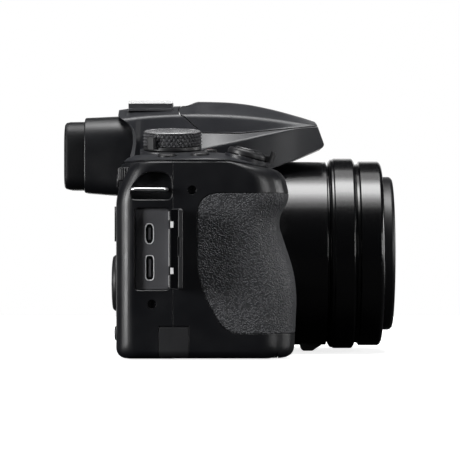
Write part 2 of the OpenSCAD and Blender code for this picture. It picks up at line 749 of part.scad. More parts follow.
module zoom_lever() color("#1a1b1e") on_shutter() {
    rotate_extrude()
        polygon([[5.5, 0.8], [7.2, 0.8], [7.2, 2.2], [6.7, 3], [5.9, 3], [5.5, 2.6]]);
    intersection() {
        translate([6.6, -2.6, 0.8]) cube([4.2, 5.2, 4.2]);
        difference() {
            cylinder(r = 9.8, h = 8);
            translate([0, 0, 2.9]) cylinder(r = 8.4, h = 8);
        }
    }
}

module shutter_button() color("#24252a") on_shutter()
    rotate_extrude()
        polygon([[0, -2], [5, -2], [5, 3.2], [4.6, 3.7], [3.8, 3.9], [2, 3.75], [0, 3.7]]);

module deck_button_rear() color("#1d1e22") on_deck(deck_buttons[0]) button(3.2, 0.9, -1.6);

module deck_button_front() color("#1d1e22") on_deck(deck_buttons[1]) button(3.2, 0.9, -1.6);

module movie_button() color("#1d1e22") translate(movie_at) button(2.7, 0.9, -1.8);

module flash_button() color("#1d1e22") translate(flash_button_at) button(2.6, 1.3, -1.8);

module rear_dial() color("#232428") translate(rear_dial_at) {
    ribbed(rear_dial_size.x, rear_dial_size.y, 36, 0.5);
    translate([0, 0, -2]) cylinder(r = 1.2, h = rear_dial_size.y + 3.2);
}

module cursor_pad() color("#202125") on_rear(pad_at) difference() {
    rotate_extrude()
        polygon([[4.3, -2.2], [pad_radius, -2.2], [pad_radius, 0.8], [pad_radius - 0.8, 1.9], [7, 2.2],
            [5.2, 1.8], [4.3, 1.5]]);
    for (turn = [0 : 90 : 270])
        rotate(turn) translate([7.6, 0, 2.6]) sphere(r = 0.8, $fn = 24);
}

module set_button() color("#2b2c30") on_rear(pad_at) button(3.9, 1.8, -2.2);

module finder_button() color("#1d1e22") on_rear(rear_buttons[0]) button(2.6, 1, -2.2);

module lock_button() color("#1d1e22") on_rear(rear_buttons[1]) button(2.6, 1, -2.2);

module play_button() color("#1d1e22") on_rear(rear_buttons[2]) button(2.6, 1, -2.2);

module menu_button() color("#1d1e22") on_rear(rear_buttons[3]) button(2.6, 1, -2.2);

module display_button() color("#1d1e22") on_rear(rear_buttons[4]) button(2.6, 1, -2.2);

module dioptre_dial() color("#26272b") translate([-48.5, finder_half - 3.1, 74]) rotate([-90, 0, 0]) {
    ribbed(4.2, 4.6, 24, 0.4);
    translate([0, 0, -2.2]) cylinder(r = 1.5, h = 2.5);
}

// Flash

module tilted_lid()
    translate([hinge.x, 0, hinge.y]) rotate([0, -flash_open, 0])
        translate([-hinge.x, 0, -hinge.y]) children();

// Flash unit under the nose of the lid, its front sloped so that it faces forward when raised
flash_unit = [[8, 84], [8, 79.6], [18, 77], [27.2, 83], [27.2, 84.5]];

module flash_head() color("#2a2b30") tilted_lid() difference() {
    union() {
        intersection() {
            hump_form();
            lid_zone();
        }
        side_prism(flash_unit, -12.6, 12.6);
    }
    for (y = [-5.2, 2.8])
        cross_rod(2.7, hinge, y, y + 2.4);
    cross_rod(0.65, hinge, -6, 6);
    translate([18.6, 0, 77.4]) rotate([0, -33.1, 0]) block([0.7, -11, -3], [9.3, 11, 1.4]);
}

module flash_window() color("#d8dade") tilted_lid()
    translate([18.6, 0, 77.4]) rotate([0, -33.1, 0]) block([0.7, -11, 0], [9.3, 11, 1.4]);

module flash_hinge_pin() color("#9a9ca0") cross_rod(0.6, hinge, -5.3, 5.3);

// Doors

// Knuckle of an upright door hinge with the two pins moulded on its ends
module knuckle(axis, z0, z1, r, pin) {
    rod(r, axis, z0, z1);
    rod(pin, axis, z0 - 0.9, z1 + 0.9);
}

port_knuckles = [[46.4, 48.6], [30.1, 32.3]];

module port_hinge_notches()
    for (z = port_knuckles) {
        block([port_axis.x - 1.7, right_y - 2, z[0] - 0.2], [port_axis.x + 1.1, right_y + 2, z[1] + 0.2]);
        knuckle(port_axis, z[0], z[1], 1.1, 0.5);
    }

module port_door() color("#26272b") translate(port_axis) rotate(port_open) translate(-port_axis) {
    for (z = port_knuckles) {
        knuckle(port_axis, z[0], z[1], 0.8, 0.45);
        block([port_axis.x - 1.8, right_y + 0.35, z[0]], [port_axis.x, right_y + 1.3, z[1]]);
    }
    difference() {
        side_plate(right_y + 0.05, right_y + door_thick)
            plate(port_low + [gap, gap], [port_axis.x - 1.7, port_high.y - gap], 1);
        block([port_low.x - 1, right_y + 0.9, 36.5], [port_low.x + 1.6, right_y + 4, 43.1]);
    }
    side_plate(right_y + door_thick, right_y + door_thick + 0.4) difference() {
        plate(port_low + [1.2, 1.2], [port_axis.x - 2.6, port_high.y - 1.2], 0.8);
        plate(port_low + [2.1, 2.1], [port_axis.x - 3.5, port_high.y - 2.1], 0.6);
    }
}

remote_low = [-33.4, 28];
remote_high = [-23.3, 44];
remote_axis = [-22, left_side - 0.8];
remote_knuckle = [34, 38];

module remote_recess() {
    side_plate(left_side - 4.6, left_side + 2) plate(remote_low, remote_high, 1.2);
    block([remote_axis.x - 1.7, left_side - 2, remote_knuckle[0] - 0.2],
        [remote_axis.x + 1.02, left_side + 2, remote_knuckle[1] + 0.2]);
    knuckle(remote_axis, remote_knuckle[0], remote_knuckle[1], 1.02, 0.5);
}

module remote_door() color("#1b1c20") {
    knuckle(remote_axis, remote_knuckle[0], remote_knuckle[1], 0.8, 0.45);
    block([remote_axis.x - 1.8, left_side - 1.3, remote_knuckle[0]],
        [remote_axis.x, left_side - 0.35, remote_knuckle[1]]);
    side_plate(left_side - door_thick, left_side - 0.05)
        plate(remote_low + [gap, gap], [remote_axis.x - 1.6, remote_high.y - gap], 1);
}

flap_sides = [-25.1, -14.65];
flap_axis = [right_y + 0.8, 10.75];
flap_round = 0.75;

// Cylinder along X at a place in the Y and Z plane
module long_rod(r, at, x0, x1)
    translate([x0, at.x, at.y]) rotate([0, 90, 0]) cylinder(r = r, h = x1 - x0);

module flap_recess() {
    block([flap_sides[0] - 0.25, right_y - 2, -1],
        [flap_sides[1] + 0.25, flap_axis.x + flap_round + 0.25, flap_axis.y + flap_round + 0.25]);
    long_rod(0.5, flap_axis, flap_sides[0] - 1.3, flap_sides[1] + 1.3);
}

// Flap whose top edge is round about its hinge, with a moulded pin at each end
module coupler_flap() color("#17181b") {
    intersection() {
        body_form(0.05);
        union() {
            block([flap_sides[0], right_y - 2, -1], [flap_sides[1], flap_axis.x + flap_round, flap_axis.y]);
            long_rod(flap_round, flap_axis, flap_sides[0], flap_sides[1]);
        }
    }
    long_rod(0.45, flap_axis, flap_sides[0] - 1.1, flap_sides[1] + 1.1);
}

// Knuckle of the battery door, along X, with its moulded pins
module battery_knuckle(x0, x1, r, pin)
    union() {
        long_rod(r, door_hinge, x0, x1);
        long_rod(pin, door_hinge, x0 - 0.8, x1 + 0.8);
    }

module battery_door() color("#191a1d") {
    low = battery_door_box[0];
    high = battery_door_box[0] + battery_door_box[1];
    difference() {
        translate([0, 0, low.z]) linear_extrude(high.z - low.z) plate(low, high, 2);
        block([-6.4, -65, -1], [2.4, -60.8, 1.5]);
    }
    for (x = battery_knuckles) {
        battery_knuckle(x, x + 4, 0.95, 0.4);
        block([x, door_hinge.x - 2, 0.8], [x + 4, door_hinge.x, 1.9]);
    }
}

// Sliding thumb latch sunk in the battery door
module battery_latch() color("#2c2d31") difference() {
    block([-6.1, -64.7, 0.5], [-0.9, -61.1, 1.4]);
    for (x = [-5.2, -3.9, -2.6])
        block([x, -64.2, 0.4], [x + 0.6, -61.6, 0.8]);
}

front_cover();
rear_cover();
top_cover();
grip_cover();
thumb_rest();
finder_housing();
eyecup();
eyepiece_lens();
finder_display();
hot_shoe();
shoe_contacts();
port_panel();
hdmi_socket();
usb_socket();
strap_loop_right();
strap_loop_left();
case_screws();
screen_module();
screen_window();
tripod_bush();
fixed_barrel();
lens_ring();
lens_collar();
middle_barrel();
front_barrel();
front_lens();
rear_lens_group();
image_sensor();
chassis();
main_board();
zoom_motor();
flash_capacitor();
battery();
memory_card();
focus_lamp();
mode_dial();
power_lever();
zoom_lever();
shutter_button();
deck_button_rear();
deck_button_front();
movie_button();
flash_button();
rear_dial();
cursor_pad();
set_button();
finder_button();
lock_button();
play_button();
menu_button();
display_button();
dioptre_dial();
flash_head();
flash_window();
flash_hinge_pin();
port_door();
remote_door();
coupler_flap();
battery_door();
battery_latch();
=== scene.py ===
import json
import math

import bmesh
import bpy
from mathutils import Matrix, Vector


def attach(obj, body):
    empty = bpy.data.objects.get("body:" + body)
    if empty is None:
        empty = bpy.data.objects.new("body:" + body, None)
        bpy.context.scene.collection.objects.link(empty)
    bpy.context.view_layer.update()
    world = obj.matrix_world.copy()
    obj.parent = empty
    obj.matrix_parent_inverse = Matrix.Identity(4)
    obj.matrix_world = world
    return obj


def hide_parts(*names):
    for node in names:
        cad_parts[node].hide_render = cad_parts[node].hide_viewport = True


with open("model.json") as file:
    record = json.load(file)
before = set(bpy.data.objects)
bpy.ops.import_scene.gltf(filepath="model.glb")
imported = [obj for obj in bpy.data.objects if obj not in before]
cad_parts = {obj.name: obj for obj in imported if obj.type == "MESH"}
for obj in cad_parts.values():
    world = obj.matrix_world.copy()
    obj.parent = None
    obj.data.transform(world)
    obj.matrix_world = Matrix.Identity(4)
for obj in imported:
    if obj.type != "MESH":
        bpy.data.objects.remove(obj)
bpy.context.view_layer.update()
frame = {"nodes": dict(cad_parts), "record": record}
scene = bpy.context.scene
nodes = frame["nodes"]

MM = 0.001

# Materials


def new_material(name):
    material = bpy.data.materials.new(name)
    material.use_nodes = True
    tree = material.node_tree
    shader = tree.nodes["Principled BSDF"]
    return material, tree, shader


def put(tree, kind, **values):
    """A node with its properties set and its input sockets given values."""
    node = tree.nodes.new(kind)
    for key, value in values.items():
        if hasattr(node, key):
            setattr(node, key, value)
        else:
            node.inputs[key.replace("_", " ")].default_value = value
    return node


def piece_coordinates(tree):
    """Coordinates fixed to the piece, in metres."""
    return put(tree, "ShaderNodeTexCoord").outputs["Object"]


def ramp(tree, source, stops):
    """Colours or grey levels at positions along a source's values."""
    node = put(tree, "ShaderNodeValToRGB")
    node.color_ramp.elements[0].position = stops[0][0]
    node.color_ramp.elements[1].position = stops[-1][0]
    for position, _ in stops[1:-1]:
        node.color_ramp.elements.new(position)
    for element, (_, level) in zip(node.color_ramp.elements, stops):
        colour = (level, level, level) if isinstance(level, (int, float)) else level
        element.color = (*colour, 1)
    tree.links.new(source, node.inputs["Fac"])
    return node.outputs["Color"]


def rounded(tree, radius):
    """Normal that rounds off edges by a radius in millimetres."""
    return put(tree, "ShaderNodeBevel", samples=4, Radius=radius * MM).outputs["Normal"]


def bump(tree, height, strength, distance, normal):
    node = put(tree, "ShaderNodeBump", Strength=strength, Distance=distance * MM)
    tree.links.new(height, node.inputs["Height"])
    tree.links.new(normal, node.inputs["Normal"])
    return node.outputs["Normal"]


def noise(tree, at, scale, detail, **more):
    node = put(tree, "ShaderNodeTexNoise", Scale=scale, Detail=detail, **more)
    tree.links.new(at, node.inputs["Vector"])
    return node


def sheen(tree, shader, source, span, levels):
    """Roughness that goes from one level to another as a texture goes through a span."""
    level = put(tree, "ShaderNodeMapRange", From_Min=span[0], From_Max=span[1],
                To_Min=levels[0], To_Max=levels[1])
    tree.links.new(source, level.inputs["Value"])
    tree.links.new(level.outputs["Result"], shader.inputs["Roughness"])


def grained(name, colour, roughness, grain=0.45, depth=0.05, edge=0.2, specular=0.5):
    """Moulded plastic with a fine spark-eroded grain and faint changes of sheen."""
    material, tree, shader = new_material(name)
    at = piece_coordinates(tree)
    fine = noise(tree, at, 1000 / grain, 2.0, Roughness=0.6)
    broad = noise(tree, at, 90.0, 3.0)
    shader.inputs["Base Color"].default_value = (*colour, 1)
    shader.inputs["Specular IOR Level"].default_value = specular
    sheen(tree, shader, broad.outputs["Fac"], (0.3, 0.7), (roughness - 0.06, roughness + 0.06))
    normal = bump(tree, fine.outputs["Fac"], 0.6, depth, rounded(tree, edge))
    tree.links.new(normal, shader.inputs["Normal"])
    return material


def leather(name, colour, cell):
    """Rubber with a pebbled leather grain: cells with soft creases between them and fine pores, and painted
    shade darkening the creases.
    """
    material, tree, shader = new_material(name)
    at = piece_coordinates(tree)
    warp = noise(tree, at, 420.0, 2.0)
    shift = put(tree, "ShaderNodeVectorMath", operation="MULTIPLY_ADD")
    shift.inputs[1].default_value = (0.0007, 0.0007, 0.0007)
    tree.links.new(warp.outputs["Color"], shift.inputs[0])
    tree.links.new(at, shift.inputs[2])
    cells = put(tree, "ShaderNodeTexVoronoi", feature="SMOOTH_F1", Scale=1000 / cell, Smoothness=0.35)
    tree.links.new(shift.outputs["Vector"], cells.inputs["Vector"])
    domes = ramp(tree, cells.outputs["Distance"], [(0.15, 1.0), (0.62, 0.0)])
    pores = noise(tree, at, 2600.0, 2.0)
    height = put(tree, "ShaderNodeMath", operation="MULTIPLY_ADD")
    height.inputs[1].default_value = 0.25
    tree.links.new(pores.outputs["Fac"], height.inputs[0])
    tree.links.new(domes, height.inputs[2])
    # The colour darkens toward the edges of the cells: painted shade in the creases between them.
    crease_shade = tuple(c * 0.45 for c in colour)
    tint = ramp(tree, cells.outputs["Distance"], [(0.3, colour), (0.75, crease_shade)])
    tree.links.new(tint, shader.inputs["Base Color"])
    shader.inputs["Roughness"].default_value = 0.5
    normal = bump(tree, height.outputs["Value"], 1.0, 0.32, rounded(tree, 0.4))
    tree.links.new(normal, shader.inputs["Normal"])
    return material


def lacquer(name, colour, roughness, coat=0.6):
    """Glossy black lacquer with the faint waviness of a polished turning."""
    material, tree, shader = new_material(name)
    at = piece_coordinates(tree)
    wave = noise(tree, at, 160.0, 1.0)
    dust = noise(tree, at, 1800.0, 2.0)
    shader.inputs["Base Color"].default_value = (*colour, 1)
    shader.inputs["Coat Weight"].default_value = coat
    shader.inputs["Coat Roughness"].default_value = roughness * 0.6
    sheen(tree, shader, dust.outputs["Fac"], (0.4, 0.8), (roughness, roughness + 0.05))
    normal = bump(tree, wave.outputs["Fac"], 0.15, 0.02, rounded(tree, 0.2))
    tree.links.new(normal, shader.inputs["Normal"])
    return material


def metal(name, colour, roughness):
    """Plated or turned metal with fine drawn lines in its sheen."""
    material, tree, shader = new_material(name)
    stretch = put(tree, "ShaderNodeMapping")
    stretch.inputs["Scale"].default_value = (0.15, 1, 1)
    tree.links.new(piece_coordinates(tree), stretch.inputs["Vector"])
    lines = noise(tree, stretch.outputs["Vector"], 2100.0, 3.0)
    shader.inputs["Base Color"].default_value = (*colour, 1)
    shader.inputs["Metallic"].default_value = 1.0
    sheen(tree, shader, lines.outputs["Fac"], (0.3, 0.7), (roughness * 0.92, roughness * 1.08))
    normal = bump(tree, lines.outputs["Fac"], 0.03, 0.005, rounded(tree, 0.12))
    tree.links.new(normal, shader.inputs["Normal"])
    return material


def optic(name, tint):
    """Coated glass over a dark inside: a clear coat whose colour drifts across the face."""
    material, tree, shader = new_material(name)
    drift = noise(tree, piece_coordinates(tree), 30.0, 0.0)
    dark = tuple(c * 0.3 for c in tint)
    colour = ramp(tree, drift.outputs["Fac"], [(0.35, dark), (0.65, tint)])
    tree.links.new(colour, shader.inputs["Base Color"])
    shader.inputs["Roughness"].default_value = 0.02
    shader.inputs["Coat Weight"].default_value = 1.0
    shader.inputs["Coat Tint"].default_value = (0.75, 0.7, 1.0, 1)
    return material


looks = {
    "body_plastic": grained("body_plastic", (0.0045, 0.0048, 0.0064), 0.37),
    "deck_plastic": grained("deck_plastic", (0.018, 0.0188, 0.0225), 0.38),
    "finder_plastic": grained("finder_plastic", (0.005, 0.0053, 0.0068), 0.36),
    "leatherette": leather("leatherette", (0.062, 0.0635, 0.07), 0.62),
    "rubber": grained("rubber", (0.014, 0.014, 0.0155), 0.62, grain=0.6),
    "eyecup_rubber": grained("eyecup_rubber", (0.003, 0.0031, 0.0039), 0.42, grain=0.5, specular=0.35),
    "door_rubber": grained("door_rubber", (0.013, 0.0132, 0.015), 0.55, grain=0.4),
    "control_black": grained("control_black", (0.012, 0.012, 0.0135), 0.42, grain=0.35, depth=0.02),
    "lens_gloss": lacquer("lens_gloss", (0.002, 0.002, 0.0025), 0.2, coat=0.45),
    "lens_satin": grained("lens_satin", (0.008, 0.008, 0.009), 0.34, grain=0.3, depth=0.012),
    "glass": optic("glass", (0.012, 0.012, 0.03)),
    "screen_glass": lacquer("screen_glass", (0.003, 0.003, 0.0035), 0.06),
    "flash_clear": grained("flash_clear", (0.55, 0.56, 0.58), 0.3, grain=1.2, depth=0.1),
    "lamp_red": grained("lamp_red", (0.12, 0.012, 0.008), 0.15, grain=1.2, depth=0.03),
    "shoe_metal": metal("shoe_metal", (0.86, 0.86, 0.87), 0.32),
    "contact_gold": metal("contact_gold", (0.8, 0.6, 0.28), 0.22),
    "bush_brass": metal("bush_brass", (0.62, 0.55, 0.4), 0.3),
    "black_screw": metal("black_screw", (0.05, 0.05, 0.055), 0.35),
    "chassis_metal": metal("chassis_metal", (0.5, 0.51, 0.53), 0.4),
    "board_green": grained("board_green", (0.012, 0.055, 0.03), 0.4, grain=0.8),
    "battery_grey": grained("battery_grey", (0.035, 0.036, 0.04), 0.5),
    "inner_black": grained("inner_black", (0.006, 0.006, 0.007), 0.6),
    "port_grey": grained("port_grey", (0.085, 0.085, 0.092), 0.5, grain=0.5),
    "shoe_dark": metal("shoe_dark", (0.16, 0.16, 0.17), 0.45),
    # Near-white: painted highlight on the small hinge parts and along the edge of the port recess.
    "painted_highlight_white": grained("painted_highlight_white", (0.8, 0.8, 0.8), 0.45, grain=0.3, depth=0.02),
    # Near-black with no specular: painted shade for the hollow, ribbed inside of the port door.
    "door_inside_shade": grained("door_inside_shade", (0.003, 0.003, 0.0035), 0.8, grain=0.4, specular=0.0),
    "rail_satin": grained("rail_satin", (0.5, 0.5, 0.5), 0.55, grain=0.3, depth=0.01),
    "rim_bright": grained("rim_bright", (0.75, 0.75, 0.76), 0.35, grain=0.3, depth=0.01),
    "dial_top": lacquer("dial_top", (0.2, 0.2, 0.205), 0.26),
    "knurl_black": grained("knurl_black", (0.075, 0.075, 0.08), 0.34, grain=0.4, depth=0.01, edge=0.06),
    "button_satin": grained("button_satin", (0.02, 0.02, 0.022), 0.3, grain=0.3, depth=0.02),
    "print_white": grained("print_white", (0.7, 0.7, 0.7), 0.5, grain=0.3, depth=0.01),
    "print_red": grained("print_red", (0.5, 0.015, 0.02), 0.4, grain=0.3, depth=0.01),
}
# Slot in the record for each look that finishes only some of a node's pieces
slot_of = {p["node"]: p["material_slot"] for p in frame["record"]["subparts"]}


def dress(obj, slot):
    obj.data.materials.clear()
    obj.data.materials.append(looks[slot])


for name, obj in nodes.items():
    dress(obj, slot_of[name])

# Shapes, in millimetres


def mix(a, b, t):
    return a + (b - a) * t


def ease(t):
    c = min(1, max(0, t))
    return c * c * (3 - 2 * c)


def turned(degrees, axis):
    return Matrix.Rotation(math.radians(degrees), 4, axis)


def turns(n):
    """Angles of n even steps round a full turn."""
    return [2 * math.pi * i / n for i in range(n)]


def polar(r, angle, height):
    return Vector((r * math.cos(angle), r * math.sin(angle), height))


def bands(m, n, closed=True):
    """Quads between m rings of n points, and from the last ring to the first when closed."""
    return [(j * n + i, j * n + (i + 1) % n, (j + 1) % m * n + (i + 1) % n, (j + 1) % m * n + i)
            for j in range(m if closed else m - 1) for i in range(n)]


def solid(name, rings, faces):
    """Object from rings of points, with its faces turned outward."""
    mesh = bpy.data.meshes.new(name)
    mesh.from_pydata([Vector(p) * MM for ring in rings for p in ring], [], faces)
    shape = bmesh.new()
    shape.from_mesh(mesh)
    bmesh.ops.remove_doubles(shape, verts=shape.verts, dist=1e-7)
    bmesh.ops.recalc_face_normals(shape, faces=shape.faces)
    shape.to_mesh(mesh)
    shape.free()
    obj = bpy.data.objects.new(name, mesh)
    scene.collection.objects.link(obj)
    return obj


def loft(name, rings):
    """Closed skin through rings that have the same number of points."""
    m, n = len(rings), len(rings[0])
    ends = [tuple(range(n)), tuple(range((m - 1) * n, m * n))]
    return solid(name, rings, bands(m, n, closed=False) + ends)


def prism(name, points, axis, a, b):
    """Outline carried along an axis: in X and Z along Y, in Y and Z along X, in X and Y along Z."""
    lay = {
        "x": lambda p, d: (d, p[0], p[1]),
        "y": lambda p, d: (p[0], d, p[1]),
        "z": lambda p, d: (p[0], p[1], d),
    }[axis]
    return loft(name, [[lay(p, d) for p in points] for d in (a, b)])


def block(name, low, high):
    return prism(name, [(low[0], low[1]), (high[0], low[1]), (high[0], high[1]), (low[0], high[1])],
                 "z", low[2], high[2])


def rounded_box(low, high, r, steps=6):
    points = []
    for x, y, start in ((high[0] - r, high[1] - r, 0), (low[0] + r, high[1] - r, 90),
                        (low[0] + r, low[1] + r, 180), (high[0] - r, low[1] + r, 270)):
        for i in range(steps + 1):
            a = math.radians(start + 90 * i / steps)
            points.append((x + r * math.cos(a), y + r * math.sin(a)))
    return points


def lathe(name, profile, place=Matrix(), n=96):
    """Closed profile of (radius, height) turned about the local Z axis of a place."""
    rings = [[place @ polar(r, a, h) for r, h in profile] for a in turns(n)]
    return solid(name, rings, bands(n, len(profile)))


def disc(name, r, low, high, place=Matrix(), n=64):
    return lathe(name, [(0, low), (r, low), (r, high), (0, high)], place, n)


def bend(a, b, c, steps):
    """Corner b (x, y, setback) between a and c as a curve that leaves its two edges smoothly."""
    p = Vector(b[:2])
    before, after = Vector(a[:2]) - p, Vector(c[:2]) - p
    reach = min(b[2], 0.45 * before.length, 0.45 * after.length)
    start, end = p + before.normalized() * reach, p + after.normalized() * reach
    along = [k / steps for k in range(steps + 1)]
    return [(1 - t) ** 2 * start + 2 * t * (1 - t) * p + t * t * end for t in along]


def outline(corners, steps):
    """Outline through corners (x, y, setback), each turned into a smooth curve."""
    n = len(corners)
    return [p for i in range(n) for p in bend(corners[i - 1], corners[i], corners[(i + 1) % n], steps)]


def softened(points, r, steps=5):
    """Corners of a closed profile rounded off by r, apart from those on the axis of turning."""
    out = []
    for i, (x, y) in enumerate(points):
        if x < 1e-6:
            out.append((x, y))
        else:
            out += [(q.x, q.y) for q in bend(points[i - 1], (x, y, r), points[(i + 1) % len(points)], steps)]
    return out


def tube(name, path, r, n=16):
    """Round bar bent along a closed path in a level plane."""
    up = Vector((0, 0, 1))
    rings = []
    for i, p in enumerate(path):
        along = (Vector(path[(i + 1) % len(path)]) - Vector(path[i - 1])).normalized()
        across = along.cross(up)
        rings.append([Vector(p) + r * (math.cos(a) * across + math.sin(a) * up) for a in turns(n)])
    return solid(name, rings, bands(len(rings), n))


def moved(obj, place):
    """The mesh of obj carried to a place that is given in millimetres."""
    obj.data.transform(Matrix.Scale(MM, 4) @ place @ Matrix.Scale(1 / MM, 4))
    return obj


def cut(obj, *tools, how="DIFFERENCE"):
    """Boolean of obj with each tool in turn. The tools are used up."""
    for tool in tools:
        step = obj.modifiers.new("cut", "BOOLEAN")
        step.operation = how
        step.solver = "EXACT"
        step.object = tool
    done = bpy.data.meshes.new_from_object(obj.evaluated_get(bpy.context.evaluated_depsgraph_get()))
    obj.modifiers.clear()
    obj.data = done
    for tool in tools:
        bpy.data.objects.remove(tool)
    return obj


def piece(obj, body, slot, *stands_for, angle=30):
    """Smooth-shaded piece that rides on a body, in a finish, in place of CAD nodes."""
    obj.data.shade_smooth()
    obj.data.set_sharp_from_angle(angle=math.radians(angle))
    even = obj.modifiers.new("even", "WEIGHTED_NORMAL")
    even.keep_sharp = True
    even.weight = 80
    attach(obj, body)
    dress(obj, slot)
    if stands_for:
        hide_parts(*stands_for)
    return obj


# Body form, as one loft from the grip side to the left side

GRIP_SIDE = 71.0
LEFT_SIDE = 55.0
REAR = -40.5
FRONT = 9.0
LENS_Z = 36.75


def edge(d, reach, depth):
    """How far a rounded edge pulls in at a distance d from the side face."""
    return 0 if d >= depth else reach * (1 - math.sqrt(1 - (1 - max(0, d) / depth) ** 2))


def deck(y):
    """Height of the deck at y, which falls toward both sides."""
    if y < 0:
        return mix(71.6, 74.2, ease((y + 68) / 22))
    return mix(70.6, 68.6, ease((y - 22) / 30))


def body_corners(y, k):
    """Corners (x, z, setback) of the side outline at y, for a form that is smaller by k all round."""
    d = min(y + GRIP_SIDE, LEFT_SIDE - y) - k
    nose_reach, nose_depth, top_reach, top_depth = (13, 15, 1.6, 2.2) if y < 0 else (8, 8, 5, 7)
    full = 1 - ease((y + 46.5) / 9.5)
    thumb = 1 - ease((y + 54) / 14)
    back = REAR + edge(d, 7, 7) + k
    nose = edge(d, nose_reach, nose_depth) + k
    top = deck(y) - edge(d, top_reach, top_depth) - k
    base = edge(d, 3.2, 3.6) + k
    return [
        (back, mix(40, 58, thumb), 4),
        (back + 5.7 * thumb, top - 1.5, mix(8, 4.5, thumb)),
        (-3, top, 9),
        (mix(FRONT, 19.2, full) - nose, min(top - 1.4, mix(top - 3, 66.4, full)), mix(3.4, 8, full)),
        (mix(FRONT, 21.5, full) - nose, 57.2, 3),
        (mix(FRONT, 16.9, full) - nose, 48.8, 4.6),
        (mix(FRONT, 24.2, full) - nose, 27, 9),
        (mix(FRONT, 22.9, full) - nose, base, 4.4),
        (back, base, 4.2),
    ]


def round_steps(depths):
    """Distances from a side face at which edges of these depths need a ring."""
    angles = [math.radians(a) for a in range(0, 91, 15)]
    return sorted({round(depth * (1 - math.cos(a)), 2) for depth in depths for a in angles})


def body_form(name, k=0.0):
    stations = [-GRIP_SIDE + k + d for d in round_steps((2.2, 3.6, 7, 15))]
    stations += [-54, -52, -50, -48.2] + [-46.5 + 0.9 * i for i in range(11)] + [-36.5, -22, 24, 40]
    stations += [LEFT_SIDE - k - d for d in reversed(round_steps((3.6, 7, 8)))]
    return loft(name, [[(p.x, y, p.y) for p in outline(body_corners(y, k), 8)] for y in stations])


# Places of the controls, screws and doors, with the local Z axis along each one's own axis

FORWARD = turned(90, "Y")
BACKWARD = turned(-90, "Y")
RIGHT_FACE = turned(-90, "X")
LEFT_FACE = turned(90, "X")


def rear_place(at):
    return Matrix.Translation((REAR, at[0], at[1])) @ BACKWARD


LENS = Matrix.Translation((0, 0, LENS_Z)) @ FORWARD
SHUTTER = Matrix.Translation((5.8, -50, 71.2)) @ turned(15, "Y")
DECK_BUTTONS = [Matrix.Translation(at) @ turned(10, "X") for at in ((-22.6, -56, 72.2), (-10.8, -56, 72.7))]
DIAL = Matrix.Translation((-21, -38, 76.8)) @ turned(7, "X")
MOVIE_AT = (-7.4, -45.5)
FLASH_BUTTON_AT = (-10, 31)
REAR_DIAL_AT = (-33.1, -55)
REAR_BUTTONS = {
    "finder_button": (-25.5, 63.6),
    "lock_button": (-36.5, 63.6),
    "play_button": (-31, 44),
    "menu_button": (-30.5, 8.5),
    "display_button": (-54, 8.5),
}
PAD = (-45, 26.4)
DIOPTRE_X, DIOPTRE_Z = -48.5, 74
REAR_SCREWS = [
    Matrix.Translation((-27.6, -GRIP_SIDE, 19.4)) @ RIGHT_FACE,
    Matrix.Translation((-27, LEFT_SIDE, 48)) @ LEFT_FACE,
    Matrix.Translation((-27, LEFT_SIDE, 12)) @ LEFT_FACE,
    Matrix.Translation((-33, -34, 0)),
    Matrix.Translation((-33, 40, 0)),
]
FRONT_SCREWS = [
    Matrix.Translation((-13.4, -GRIP_SIDE, 59.7)) @ RIGHT_FACE,
    Matrix.Translation((4, 46, 0)),
    Matrix.Translation((4, -36, 0)),
]
BATTERY_HINGE = Matrix.Translation((0, -44.6, 1.3)) @ FORWARD
PORT_AXIS = (-20.3, -70.2)
PORT_HINGES = [(46.4, 48.6), (30.1, 32.3)]
REMOTE_AXIS = (-22, 54.2)
REMOTE_HINGES = [(34, 38)]
FLAP_BACK, FLAP_FRONT, FLAP_TOP = -25.1, -14.65, 11.5
DOOR_GAP = 0.2

# Tools that cut the covers

# Limits that are clear of the whole form
BEHIND, AHEAD = -60, 60
FAR_RIGHT, FAR_LEFT = -90, 90
BELOW, ABOVE = -1, 110
OUTSIDE_GRIP = -73

COVER_SEAM = -20.2
COVER_GAP = 0.05
TOP_FRONT = 40
TOP_SEAM = [(BEHIND, 70), (0, 70), (16, 67.6), (TOP_FRONT, 67.6)]
GRIP_END = -40.5
GRIP_SKIN = 1.0


def top_zones():
    """Spaces above the seam of the top cover, on the grip side and on the other."""
    right = prism("zone", TOP_SEAM + [(TOP_FRONT, ABOVE), (BEHIND, ABOVE)], "y", FAR_RIGHT, 0)
    left = block("zone", (BEHIND, -0.001, 66), (TOP_FRONT, FAR_LEFT, ABOVE))
    return right, left


def seam_line(half, depth):
    """Groove along the seam between the top cover and the covers below it, on the grip side."""
    path = [(x, z - half) for x, z in TOP_SEAM] + [(x, z + half) for x, z in reversed(TOP_SEAM)]
    return cut(prism("groove", path, "y", FAR_RIGHT, -0.5), body_form("inner", depth))


def seam_grooves():
    """The gap of the seam and the slopes beside it."""
    return seam_line(0.22, 0.6), seam_line(0.5, 0.16)


def deck_wells():
    wells = [disc("well", 5.3, -3.5, 5.5, SHUTTER)]
    return wells + [disc("well", 3.5, -2.6, 5.4, at) for at in DECK_BUTTONS]


def screw_wells(places):
    return [disc("well", 1.6, -1, 2.4, at, 32) for at in places]


def flap_space():
    low = (FLAP_BACK - DOOR_GAP, OUTSIDE_GRIP, BELOW)
    high = (FLAP_FRONT + DOOR_GAP, -69.2, FLAP_TOP + DOOR_GAP)
    return block("space", low, high)


def chamfered(outline_at, width, face, depth, out):
    """Recess in a side face with a slope of the given width around its mouth."""
    levels = ((face + out * width, 2 * width), (face - out * width, 0), (face - out * depth, 0))
    return loft("recess", [[(x, y, z) for x, z in outline_at(grow)] for y, grow in levels])


def port_mouth(grow):
    return rounded_box((-33.7 - grow, 24.4 - grow), (-21.4 + grow, 53.4 + grow), 1.2 + grow)


